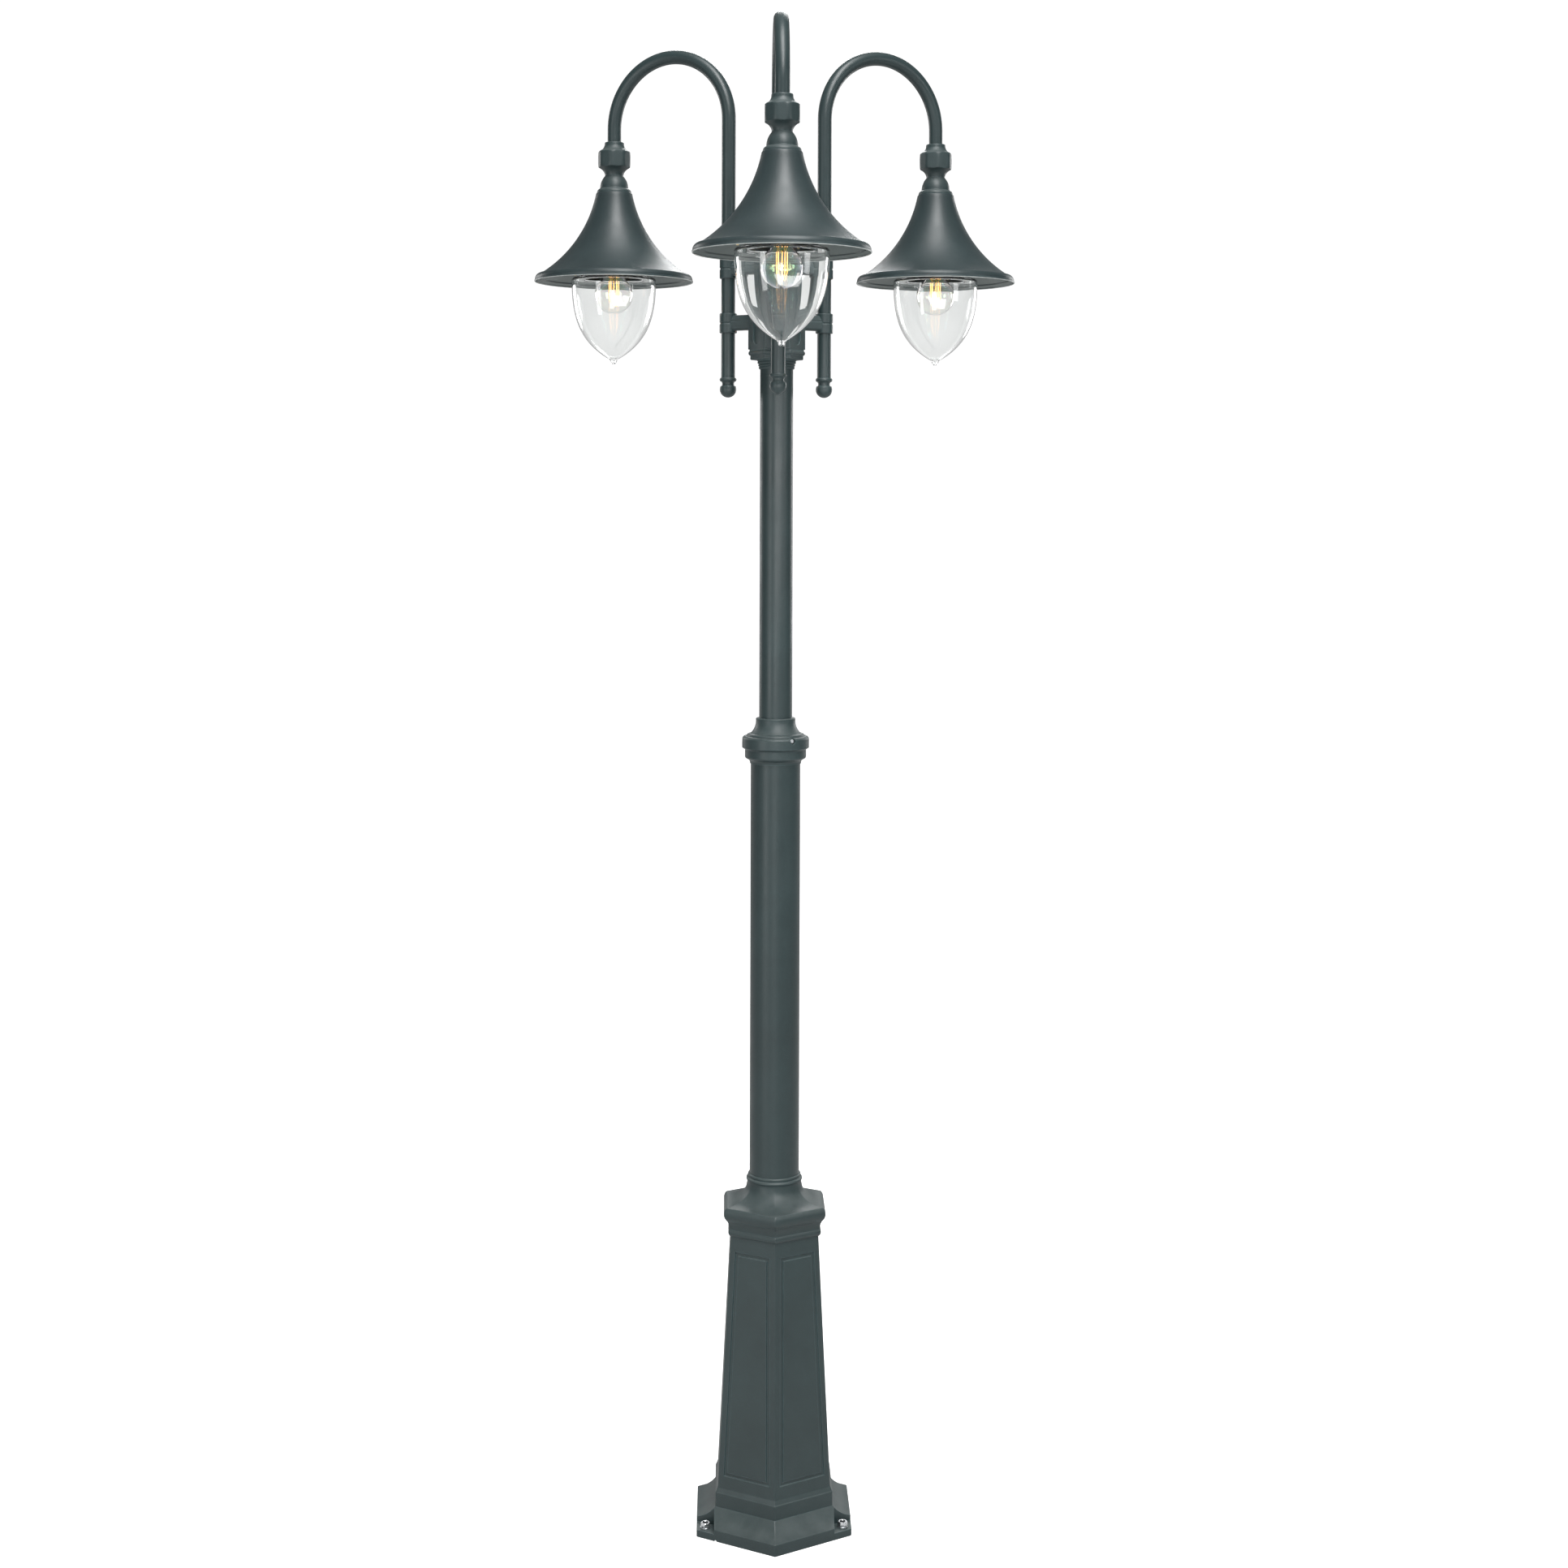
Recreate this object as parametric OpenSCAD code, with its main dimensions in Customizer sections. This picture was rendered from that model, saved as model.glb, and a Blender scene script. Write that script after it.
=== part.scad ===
// Three-arm street lamp post: hexagonal cast pedestal, two-stage tube with a swivel joint,
// hexagonal hub, three crook arms and three hanging lanterns with clear globes.
// Origin on the pole's axis at ground level, +Z up, one arm towards -Y.

/* [Pedestal] */
// Corner radius of the hexagonal foot plate
base_r = 133; // [120:1:170]
// Thickness of the foot plate's edge
plate_t = 17; // [14:1:24]
// Height of the sloping skirt above the plate
skirt_h = 21; // [15:1:40]
// Corner radius of the plain band above the skirt
band_r = 101; // [99:1:112]
// Height of the plain band
band_h = 22; // [12:1:40]
// Height of the sloping ledge from band to column
ledge_h = 6; // [3:1:12]
// Corner radius of the column at its foot
column_r0 = 97; // [90:1:98]
// Corner radius of the column at its top
column_r1 = 76; // [70:1:78]
// Height of the tapered column
column_h = 371; // [300:5:460]
// Height of the moulding under the cap
neck_h = 25; // [20:1:36]
// Wall of the hollow casting
wall = 6; // [4:0.5:8]
// Depth of the framed groove on each face of the column
groove_depth = 1.6; // [0.8:0.1:2.5]
// Width of that groove
groove_w = 6; // [3:0.5:9]
// Distance from a face's edges to the groove
groove_margin = 9; // [6:0.5:12]
// Side of the rhombic pocket cut into alternate corners for the anchor nuts
pocket_side = 30; // [28:1:34]
// Height of the pocket's floor
pocket_z = 10.5; // [8:0.5:13]
// Distance from a corner of the plate to its anchor hole
anchor_inset = 15; // [13:1:17]
// Diameter of the anchor holes
anchor_hole_d = 9; // [8.5:0.5:10]

/* [Pedestal cap] */
// Corner radius of the cap's rolled edge
roll_r = 88; // [86:1:98]
// Height of the rolled edge
roll_h = 18; // [12:1:26]
// Height of the hollow flare from hexagon to round
flare_h = 30; // [24:1:50]
// Height of the beaded collar round the tube
lip_h = 12; // [12:1:20]

/* [Tubes] */
// Outside diameter of the lower tube
lower_d = 75; // [68:1:78]
// Wall of the lower tube
lower_wall = 3; // [2:0.5:4]
// Outside diameter of the upper tube
upper_d = 50; // [42:1:52]
// Wall of the upper tube
upper_wall = 2.5; // [2:0.5:4]
// Height of the swivel joint's seat above the ground
joint_z = 1170; // [900:10:1400]
// Length of the spigot that stands in the lower tube
spigot_h = 70; // [40:5:120]
// Diameter of the joint's foot flange
foot_d = 87.8; // [84:0.2:92]
// Width of the collar's wall round the flange
collar_wall = 6.5; // [6:0.5:9]

/* [Hub] */
// Height of the underside of the hub body above the ground
hub_z = 1766; // [1500:10:2100]
// Corner radius of the hub body
hub_r = 41.5; // [40:0.5:48]
// Height of the hub body
hub_h = 160; // [155:5:200]
// Wall of the hub body
hub_wall = 5; // [4:0.5:7]
// Diameter of the ball on the hub's cap
ball_d = 22; // [16:1:28]

/* [Arms] */
// Outside diameter of an arm tube
arm_d = 21.3; // [20:0.1:24]
// Wall of an arm tube
arm_wall = 2; // [1.5:0.5:3]
// Distance from the pole's axis to the arm's inner leg
arm_in = 85; // [75:1:105]
// Radius of the crook's centre line
crook_r = 104.25; // [90:0.25:140]
// Height of the crook's centre above the hub's underside
crook_h = 357.5; // [330:2.5:430]
// Height of the lower sleeve's middle above the hub's underside
sleeve_z0 = 44.5; // [40:0.5:60]
// Height of the upper sleeve's middle above the hub's underside
sleeve_z1 = 128; // [115:1:135]
// How far the inner leg reaches below the hub's underside
leg_drop = 39; // [25:1:80]
// Height of a sleeve
sleeve_h = 30; // [26:1:36]

/* [Lanterns] */
// Diameter of the shade at its rim
shade_d = 250; // [235:5:300]
// Height of the shade
shade_h = 140.5; // [130:0.5:170]
// Radius of the shade's hollow sweep
sweep_r = 197; // [180:1:300]
// Wall of the shade
shade_wall = 2.2; // [1.5:0.1:3]
// Straight length of tube between the coupling and the crook's bend
drop_h = 20.6; // [15:0.2:80]
// Diameter of the globe
globe_d = 132.6; // [120:0.2:150]
// Length of the globe below the rim
globe_h = 129; // [110:1:160]
// Wall of the globe
globe_wall = 3; // [2:0.5:4]
// Diameter of the globe's neck
neck_d = 100; // [90:1:106]
// Diameter of the bulb
bulb_d = 60; // [55:1:64]
// Height of the bulb's middle above the rim
bulb_z = -20; // [-24:1:-18]

/* [Fits] */
// Radial clearance of pieces fixed inside one another
fit = 0.1; // [0.05:0.05:0.2]
// Clearance of pieces that move past one another
gap = 0.3; // [0.3:0.1:0.5]

/* [Hidden] */
FRONT = -90;
RIGHT = 30;
LEFT = 150;
ARMS = [FRONT, RIGHT, LEFT];
$fn = 96;

// overrun of a cut past the face that it leaves
over = 1;
// ratio of a hexagon's apothem to its corner radius
apo = cos(30);

// heights of the pedestal's stages
z_skirt = plate_t + skirt_h;
z_band = z_skirt + band_h;
z_ledge = z_band + ledge_h;
z_column = z_ledge + column_h;
z_neck = z_column + neck_h;
z_roll = z_neck + roll_h;
z_flare = z_roll + flare_h;
z_cap = z_flare + lip_h;
neck_band_h = 0.4 * neck_h;
neck_r0 = column_r1 + 1.5;
neck_r1 = neck_r0 + 2;
neck_r2 = roll_r - 4;
flange_t = 8;
tube_seat_z = z_neck + 4;
lower_r = lower_d / 2;
lower_in = lower_r - lower_wall;
cap_screw_r = (lower_in + column_r1 * apo - wall) / 2;
cap_screw_h = 10;

// small screws
small_r = 2.5;
small_head_r = 4.6;
small_head_h = 3;
small_bore = small_r + fit;

// anchors, one in every other corner of the plate
ANCHOR_AZ = [90, 210, 330];
anchor_pcd = 2 * (base_r - anchor_inset);
washer_t = 1.6;
washer_r = 8;
washer_bore = 4.25;
anchor_nut_h = 6.5;
anchor_nut_r = 7.5;
anchor_nut_bore = 4.05;
drain_r = 2.5;
drain_at = 32;

// junction box, its screws and the wiring that it holds
box_back = 27;
box_z0 = 190;
box_h = 110;
box_w = 74;
box_d = 40;
box_wall = 2.5;
box_front = box_back - box_d;
box_screw_y = 7;
box_screw_h = 16;
boss_half = 12;
lid_t = 3;
terminal_z = box_z0 + 45;
terminal_t = 20;
terminal_front = 9;
supply_r = 5;
gland_r = 8;
gland_drop = 18;
gland_nut_h = 4;
earth_z = 245;
earth_face = 56;
earth_r = 3;
earth_nut_r = 5.8;
earth_nut_h = 5;
earth_in = 13;
socket_r = lower_r + fit;
cap_lip_r = lower_r + 4.4;

// swivel joint
foot_r = foot_d / 2;
foot_h = 14.5;
collar_in = foot_r + gap;
collar_r = collar_in + collar_wall;
collar_h = 13;
seat_t = 4;
lower_ring_r = collar_r - 4.4;
collar_foot_z = joint_z - 28.5;
screw_z = joint_z + 8.6;
screw_r = 2.9;
notch_r = 4.4;
notch_depth = 3;
SCREW_AZ = [-60, 60, 180];
upper_r = upper_d / 2;
spigot_r = lower_in - gap;
reducer_top = joint_z + 40.3;
reducer_top_r = upper_r + 4.8;
tube_ledge = 10;

// hub
hub_collar_h = 28;
hub_bead_r = hub_r + 1.2;
hub_flange_r = hub_r - 1.1;
hub_bead_h = 7.5;
hub_flange_h = 6.5;
hub_top = hub_z + hub_h;
flat_r = hub_r * apo;
shelf_z = sleeve_z1 - 16;
shelf_t = 4;
shelf_hole_r = 6.5;
terminal_h = 18;
terminal_apo = 20;
tube_top = hub_z - shelf_t;

// arms
arm_r = arm_d / 2;
arm_bore = arm_r - arm_wall;
sleeve_bore = arm_r + fit;
sleeve_r = arm_r + 2.7;
arm_out = arm_in + 2 * crook_r;
crook_z = hub_z + crook_h;
leg_z = hub_z - leg_drop;
plate_w = 36;
bracket_t = 4;
bracket_r = flat_r + bracket_t;
strut_half = 9.5;
strut_up = 11.7;
strut_down = 11.3;
screw_z0 = 14;
screw_z1 = (sleeve_z0 + sleeve_z1) / 2;
leg_screw_z = 7;
cable_hole_r = 5.5;
cable_r = 2.75;
bend_r = 8;

// lanterns, heights counted from the rim of the shade
shade_r = shade_d / 2;
cap_h = 27.5;
coupling_z0 = shade_h + cap_h;
coupling_h = 52.4;
coupling_top = coupling_z0 + coupling_h;
hang = coupling_top + drop_h;
rim_z = crook_z - hang;
nut_floor = coupling_z0 + 13;
tube_floor = nut_floor + 7;
stem_r = 4.95;
stem_hole_r = stem_r + 0.25;
stem_bore = cable_r + 0.55;
stem_top = tube_floor + 2;
nut_h = 6;
nut_r = 8.6;
nut_well_r = nut_r + 0.6;
neck_r = neck_d / 2;
neck_top = 24;
shoulder_z = 6;
gasket_t = 2.5;
gasket_w = 4;
gallery_in = neck_r + gap + fit;
gallery_wall = 1.5;
gallery_skirt_z = shoulder_z + 1 + gap;
gallery_lip_z = neck_top + gasket_t;
thumb_z = 15;
holder_z0 = 28;
holder_z1 = 77.5;
holder_r = 20;
gallery_top_r = holder_r + 18;
sleeve_tube_r = 9;
globe_r = globe_d / 2;
bulb_r = bulb_d / 2;
cap_r = 13.2;
bulb_neck_z = bulb_z + 46;
cap_top = bulb_neck_z + 25;
contact_z = cap_top + 4;
socket_top = contact_z + gap;
cable_end = socket_top + 5;

// paint and bare finishes
PAINT = [0.25, 0.28, 0.28];
INNER = [0.33, 0.36, 0.36];
ZINC = [0.75, 0.76, 0.76];
BRASS = [0.80, 0.66, 0.36];
GLASS = [0.85, 0.90, 0.90, 0.35];
BLACK = [0.08, 0.08, 0.08];
GREY = [0.55, 0.56, 0.56];
CERAMIC = [0.92, 0.90, 0.86];
GLOW = [1.0, 0.62, 0.22];

// points on a circular arc of radius |r| from a to b, hollow side set by the sign of r
function arc(a, b, r, n = 12) =
    let (d = norm(b - a),
         u = (b - a) / d,
         rise = sqrt(max(r * r - d * d / 4, 0)),
         c = (a + b) / 2 + sign(r) * rise * [-u[1], u[0]],
         a0 = atan2(a[1] - c[1], a[0] - c[0]),
         raw = atan2(b[1] - c[1], b[0] - c[0]) - a0,
         turn = raw > 180 ? raw - 360 : raw < -180 ? raw + 360 : raw)
    [for (i = [0 : n]) c + abs(r) * [cos(a0 + turn * i / n), sin(a0 + turn * i / n)]];

// points on a cubic curve
function curve(a, b, c, d, n = 16) =
    [for (i = [0 : n])
        let (t = i / n, s = 1 - t)
        s * s * s * a + 3 * s * s * t * b + 3 * s * t * t * c + t * t * t * d];

// corner radius of the column at height z
function column_r(z) = column_r0 + (column_r1 - column_r0) * (z - z_ledge) / column_h;

// ring of n points at height z that turns from a hexagon of corner radius r to a circle
// as w goes from 0 to 1, corners towards -Y and +Y
function blend_ring(r, w, z, n) =
    [for (i = [0 : n - 1])
        let (a = 360 * i / n,
             rho = (1 - w) * r * apo / cos(abs(a % 60 - 30)) + w * r)
        [rho * cos(a + 30), rho * sin(a + 30), z]];

// closed solid through a stack of rings of n points each
module ring_loft(rings, n) {
    m = len(rings) - 1;
    sides = [for (j = [0 : m - 1]) for (i = [0 : n - 1])
        [(j + 1) * n + i, (j + 1) * n + (i + 1) % n, j * n + (i + 1) % n, j * n + i]];
    foot = [for (i = [0 : n - 1]) i];
    head = [for (i = [0 : n - 1]) m * n + n - 1 - i];
    polyhedron([for (ring = rings) each ring], concat(sides, [foot], [head]), convexity = 4);
}

// hexagonal solid through a list of [corner radius, height] points
module hex_profile(pts) {
    ring_loft([for (p = pts) blend_ring(p[0], 0, p[1], 6)], 6);
}

// puts its children at the axis of the arm's inner leg
module at_leg(az) {
    rotate(az) translate([arm_in, 0, 0]) children();
}

// puts its children at the lantern's axis, with z = 0 at the rim
module at_lantern(az) {
    rotate(az) translate([arm_out, 0, rim_z]) children();
}

// a round bar along the radius from r0 to r1 at height z
module radial(r0, r1, z, r) {
    translate([r0, 0, z]) rotate([0, 90, 0]) cylinder(r = r, h = r1 - r0, $fn = 32);
}

// ---- pedestal ----

// one framed groove lying in the plane of a column face
module face_groove() {
    lean = atan((column_r0 - column_r1) * apo / column_h);
    span = column_h / cos(lean);
    v0 = 18;
    v1 = span - 22;
    r_at = function (v) column_r0 + (column_r1 - column_r0) * v / span;
    outline = function (m, e) [
        [v0 + e, -(r_at(v0) / 2 - m)], [v0 + e, r_at(v0) / 2 - m],
        [v1 - e, r_at(v1) / 2 - m], [v1 - e, -(r_at(v1) / 2 - m)]
    ];
    translate([column_r0 * apo, 0, z_ledge]) rotate([0, -90 - lean, 0])
        translate([0, 0, -over]) linear_extrude(over + groove_depth) difference() {
            polygon(outline(groove_margin, 0));
            polygon(outline(groove_margin + groove_w, groove_w));
        }
}

// rhombic pocket over an anchor nut, sides parallel to the two faces that meet at the corner
module pocket() {
    linear_extrude(z_skirt + over - pocket_z) difference() {
        polygon([
            [base_r - pocket_side, 0],
            [base_r - pocket_side / 2, pocket_side * apo],
            [base_r + pocket_side / 2, pocket_side * apo],
            [base_r + pocket_side, 0],
            [base_r + pocket_side / 2, -pocket_side * apo],
            [base_r - pocket_side / 2, -pocket_side * apo]
        ]);
        circle(r = band_r, $fn = 6);
    }
}

module pedestal() {
    rim = wall / apo;
    boss_reach = column_r(box_z0) * apo - box_back - 3;
    earth_reach = column_r(earth_z) * apo - earth_face - 3;
    color(PAINT) difference() {
        union() {
            difference() {
                hex_profile(concat(
                    [[base_r, 0]],
                    arc([base_r, plate_t], [band_r, z_skirt], -60, 4),
                    [
                        [band_r, z_band - 1.5], [band_r - 1, z_band],
                        [column_r0, z_ledge], [column_r1, z_column], [neck_r0, z_column + 0.4],
                        [neck_r0 + 1.4, z_column + 2], [neck_r1, z_column + neck_band_h / 2],
                        [neck_r1 - 0.3, z_column + neck_band_h - 1]
                    ],
                    arc([neck_r1 - 1, z_column + neck_band_h], [neck_r2, z_neck], -18, 4)
                ));
                hex_profile([
                    [band_r - rim, -over], [band_r - rim, z_skirt], [column_r0 - rim, z_ledge],
                    [column_r1 - rim, z_column], [column_r1 - rim - 0.1, z_neck - flange_t]
                ]);
            }
            translate([box_back, -boss_half, box_z0 + 15])
                cube([boss_reach, 2 * boss_half, box_h - 30]);
            translate([-earth_face - earth_reach, -boss_half, earth_z - boss_half])
                cube([earth_reach, 2 * boss_half, 2 * boss_half]);
        }
        translate([0, 0, z_neck - flange_t - over]) cylinder(r = lower_in, h = flange_t + 2 * over);
        for (az = ANCHOR_AZ) rotate(az) {
            translate([0, 0, pocket_z]) pocket();
            translate([anchor_pcd / 2, 0, -over])
                cylinder(d = anchor_hole_d, h = pocket_z + 2 * over);
        }
        for (az = [0 : 60 : 300]) rotate(az) face_groove();
        for (az = [0 : 120 : 240]) rotate(az) translate([cap_screw_r, 0, z_neck - flange_t - over])
            cylinder(r = small_bore, h = flange_t + 2 * over, $fn = 32);
        for (y = [-box_screw_y, box_screw_y]) translate([0, y, 0])
            radial(box_back - over, box_back + box_screw_h, box_z0 + box_h / 2, small_bore);
        radial(-earth_face - earth_in - over, -earth_face + over, earth_z, earth_r + fit);
        rotate(210) translate([base_r, 0, 0]) rotate(120) translate([drain_at, 0, 0])
            rotate([90, 0, 0]) cylinder(r = drain_r, h = drain_at, center = true, $fn = 32);
    }
}

// pan-head screw along +Z, its head's seat at z = 0
module pan_screw(length) {
    cylinder(r = small_r, h = length, $fn = 32);
    translate([0, 0, -small_head_h]) cylinder(r = small_head_r, h = small_head_h, $fn = 32);
}

module inside_screws() {
    color(ZINC) {
        for (az = [0 : 120 : 240]) rotate(az)
            translate([cap_screw_r, 0, z_neck - flange_t]) pan_screw(flange_t + cap_screw_h);
        for (y = [-box_screw_y, box_screw_y])
            translate([box_back - box_wall, y, box_z0 + box_h / 2]) rotate([0, 90, 0])
                pan_screw(box_screw_h);
    }
}

module anchor_nuts() {
    color(ZINC) for (az = ANCHOR_AZ) rotate(az)
        translate([anchor_pcd / 2, 0, pocket_z + washer_t]) difference() {
            intersection() {
                cylinder(r = anchor_nut_r, h = anchor_nut_h, $fn = 6);
                rotate_extrude() polygon([
                    [0, 0], [anchor_nut_r - 0.7, 0], [anchor_nut_r + 0.1, 0.8],
                    [anchor_nut_r + 0.1, anchor_nut_h - 0.8], [anchor_nut_r - 0.7, anchor_nut_h],
                    [0, anchor_nut_h]
                ]);
            }
            translate([0, 0, -over]) cylinder(r = anchor_nut_bore, h = anchor_nut_h + 2 * over);
        }
}

module anchor_washers() {
    color(ZINC) for (az = ANCHOR_AZ) rotate(az)
        translate([anchor_pcd / 2, 0, pocket_z]) difference() {
            cylinder(r = washer_r, h = washer_t);
            translate([0, 0, -over]) cylinder(r = washer_bore, h = washer_t + 2 * over);
        }
}

// ---- wiring inside the pedestal ----

module junction_box() {
    color(GREY) difference() {
        translate([box_front, -box_w / 2, box_z0]) cube([box_d, box_w, box_h]);
        translate([box_front - over, -box_w / 2 + box_wall, box_z0 + box_wall])
            cube([box_d + over - box_wall, box_w - 2 * box_wall, box_h - 2 * box_wall]);
        translate([0, 0, box_z0 + box_h - box_wall - over])
            cylinder(r = supply_r + fit, h = box_wall + 2 * over);
        translate([0, 0, box_z0 - over]) cylinder(r = gland_r + fit, h = box_wall + 2 * over);
        for (y = [-box_screw_y, box_screw_y])
            translate([box_back - box_wall - over, y, box_z0 + box_h / 2]) rotate([0, 90, 0])
                cylinder(r = small_bore, h = box_wall + 2 * over, $fn = 32);
    }
}

module junction_lid() {
    lip_w = box_w - 2 * (box_wall + gap);
    lip_z = box_h - 2 * (box_wall + gap);
    color(GREY) {
        translate([box_front - lid_t, -box_w / 2, box_z0]) cube([lid_t, box_w, box_h]);
        translate([box_front, -lip_w / 2, box_z0 + box_wall + gap]) difference() {
            cube([lid_t, lip_w, lip_z]);
            translate([-over, 2, 2]) cube([lid_t + 2 * over, lip_w - 4, lip_z - 4]);
        }
    }
}

module terminal_block() {
    back = box_back - box_wall;
    foot_t = small_head_h + gap;
    color(CERAMIC) {
        difference() {
            translate([-terminal_front, -25, terminal_z])
                cube([back - foot_t + terminal_front, 50, terminal_t]);
            for (y = [-18 : 9 : 18]) translate([0, y, 0])
                radial(-terminal_front - over, 0, terminal_z + terminal_t / 2, 2.2);
        }
        for (y = [-23, 19]) translate([back - foot_t, y, terminal_z])
            cube([foot_t, 4, terminal_t]);
    }
}

module inlet_gland() {
    bottom = box_z0 - gland_drop;
    top = box_z0 + box_wall + gland_nut_h;
    color(BLACK) difference() {
        union() {
            translate([0, 0, bottom]) cylinder(r = 10.5, h = 10);
            translate([0, 0, bottom + 10]) cylinder(r = 13, h = gland_drop - 10, $fn = 6);
            translate([0, 0, box_z0]) cylinder(r = gland_r, h = box_wall);
            translate([0, 0, top - gland_nut_h]) cylinder(r = gland_r + 1.6, h = gland_nut_h, $fn = 6);
        }
        translate([0, 0, bottom - over]) cylinder(r = supply_r + 0.5, h = top - bottom + 2 * over);
    }
}

module supply_cable() {
    z0 = terminal_z + terminal_t;
    z1 = hub_z + shelf_z + shelf_t - gap;
    color(BLACK) translate([0, 0, z0]) cylinder(r = supply_r, h = z1 - z0);
}

module earth_stud() {
    color(BRASS) {
        radial(-earth_face - earth_in, -earth_face + 17, earth_z, earth_r);
        for (x = [0, earth_nut_h + 2]) translate([x - earth_face, 0, earth_z]) rotate([0, 90, 0])
            cylinder(r = earth_nut_r, h = earth_nut_h, $fn = 6);
    }
}

// ---- pedestal cap ----

module pedestal_cap() {
    n = 36;
    m = 7;
    edge = 0.02;
    r_top = cap_lip_r - 0.8;
    roll = [
        [roll_r - 1.5, 0], [roll_r, 3], [roll_r, 7], [roll_r - 0.8, 11.5], [roll_r - 2.4, 15.5]
    ];
    roll_rings = [for (p = roll) blend_ring(p[0], edge, z_neck + p[1] * roll_h / 18, n)];
    flare_rings = [for (j = [0 : m])
        let (t = j / m)
        blend_ring(neck_r2 - (neck_r2 - r_top) * sin(90 * t), min(1, edge + 1.25 * t),
                   z_roll + flare_h * (1 - cos(90 * t)), n)];
    color(PAINT) difference() {
        union() {
            ring_loft(concat(roll_rings, flare_rings), n);
            translate([0, 0, z_flare]) rotate_extrude() polygon([
                [0, -0.4], [r_top + 0.3, -0.4], [r_top + 0.3, 1], [cap_lip_r - 0.2, 2],
                [cap_lip_r, 4], [cap_lip_r - 0.4, 6], [cap_lip_r - 1.6, 6.8], [cap_lip_r - 2.6, 7],
                [cap_lip_r - 2.3, 8.2], [cap_lip_r - 2.4, 10], [cap_lip_r - 3.2, lip_h - 0.6],
                [cap_lip_r - 3.8, lip_h], [0, lip_h]
            ]);
        }
        translate([0, 0, tube_seat_z]) cylinder(r = socket_r, h = z_cap - tube_seat_z + over);
        translate([0, 0, z_neck - over]) cylinder(r = lower_in, h = tube_seat_z - z_neck + 2 * over);
        for (az = [0 : 120 : 240]) rotate(az) translate([cap_screw_r, 0, z_neck - over])
            cylinder(r = small_bore, h = cap_screw_h + 1 + over, $fn = 32);
    }
}

// ---- tubes and swivel joint ----

module lower_tube() {
    color(PAINT) translate([0, 0, tube_seat_z]) difference() {
        cylinder(r = lower_r, h = joint_z - seat_t - tube_seat_z);
        translate([0, 0, -over])
            cylinder(r = lower_in, h = joint_z - seat_t - tube_seat_z + 2 * over);
    }
}

module joint_collar() {
    z0 = collar_foot_z - joint_z;
    color(PAINT) translate([0, 0, joint_z]) difference() {
        rotate_extrude() polygon(concat(
            [[socket_r, z0], [lower_r + 1, z0]],
            arc([lower_r + 1.2, z0 + 0.8], [lower_ring_r - 5.9, z0 + 5.5], -6, 4),
            [[lower_ring_r, z0 + 8.8], [lower_ring_r, -7.2], [collar_r, -5]],
            arc([collar_r, 9.2], [collar_r - 4.7, collar_h], 5.5, 5),
            [
                [collar_in, collar_h], [collar_in, 0], [lower_in, 0], [lower_in, -seat_t],
                [socket_r, -seat_t]
            ]
        ));
        for (az = SCREW_AZ) rotate(az) {
            radial(collar_in - over, collar_r + over, screw_z - joint_z, screw_r + fit);
            radial(collar_r - notch_depth, collar_r + over, screw_z - joint_z, notch_r);
        }
    }
}

module collar_screws() {
    color(ZINC) for (az = SCREW_AZ) rotate(az) difference() {
        radial(foot_r + gap, collar_r - 1, screw_z, screw_r);
        translate([collar_r - 3.5, 0, screw_z]) rotate([0, 90, 0]) cylinder(r = 1.7, h = 3.5, $fn = 6);
    }
}

module reducer() {
    z0 = -spigot_h;
    z1 = reducer_top - joint_z;
    color(PAINT) translate([0, 0, joint_z]) rotate_extrude() polygon(concat(
        [
            [upper_r - upper_wall, z0], [spigot_r - 1, z0], [spigot_r, z0 + 1], [spigot_r, 0],
            [foot_r, 0], [foot_r, foot_h - 1.5]
        ],
        arc([foot_r - 0.6, foot_h], [foot_r - 3.4, foot_h + 2], 3, 4),
        arc([foot_r - 6.4, foot_h + 2.4], [reducer_top_r - 0.2, z1 - 3], -26, 7),
        arc([reducer_top_r, z1 - 2.4], [reducer_top_r - 1.8, z1], 2, 3),
        [
            [upper_r + fit, z1], [upper_r + fit, z0 + tube_ledge],
            [upper_r - upper_wall, z0 + tube_ledge]
        ]
    ));
}

module upper_tube() {
    z0 = joint_z - spigot_h + tube_ledge;
    color(PAINT) translate([0, 0, z0]) difference() {
        cylinder(r = upper_r, h = tube_top - z0);
        translate([0, 0, -over]) cylinder(r = upper_r - upper_wall, h = tube_top - z0 + 2 * over);
    }
}

// ---- hub ----

// hexagonal solid of the hub, flats towards the arms
module hub_profile(pts) {
    rotate(30) hex_profile(pts);
}

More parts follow.
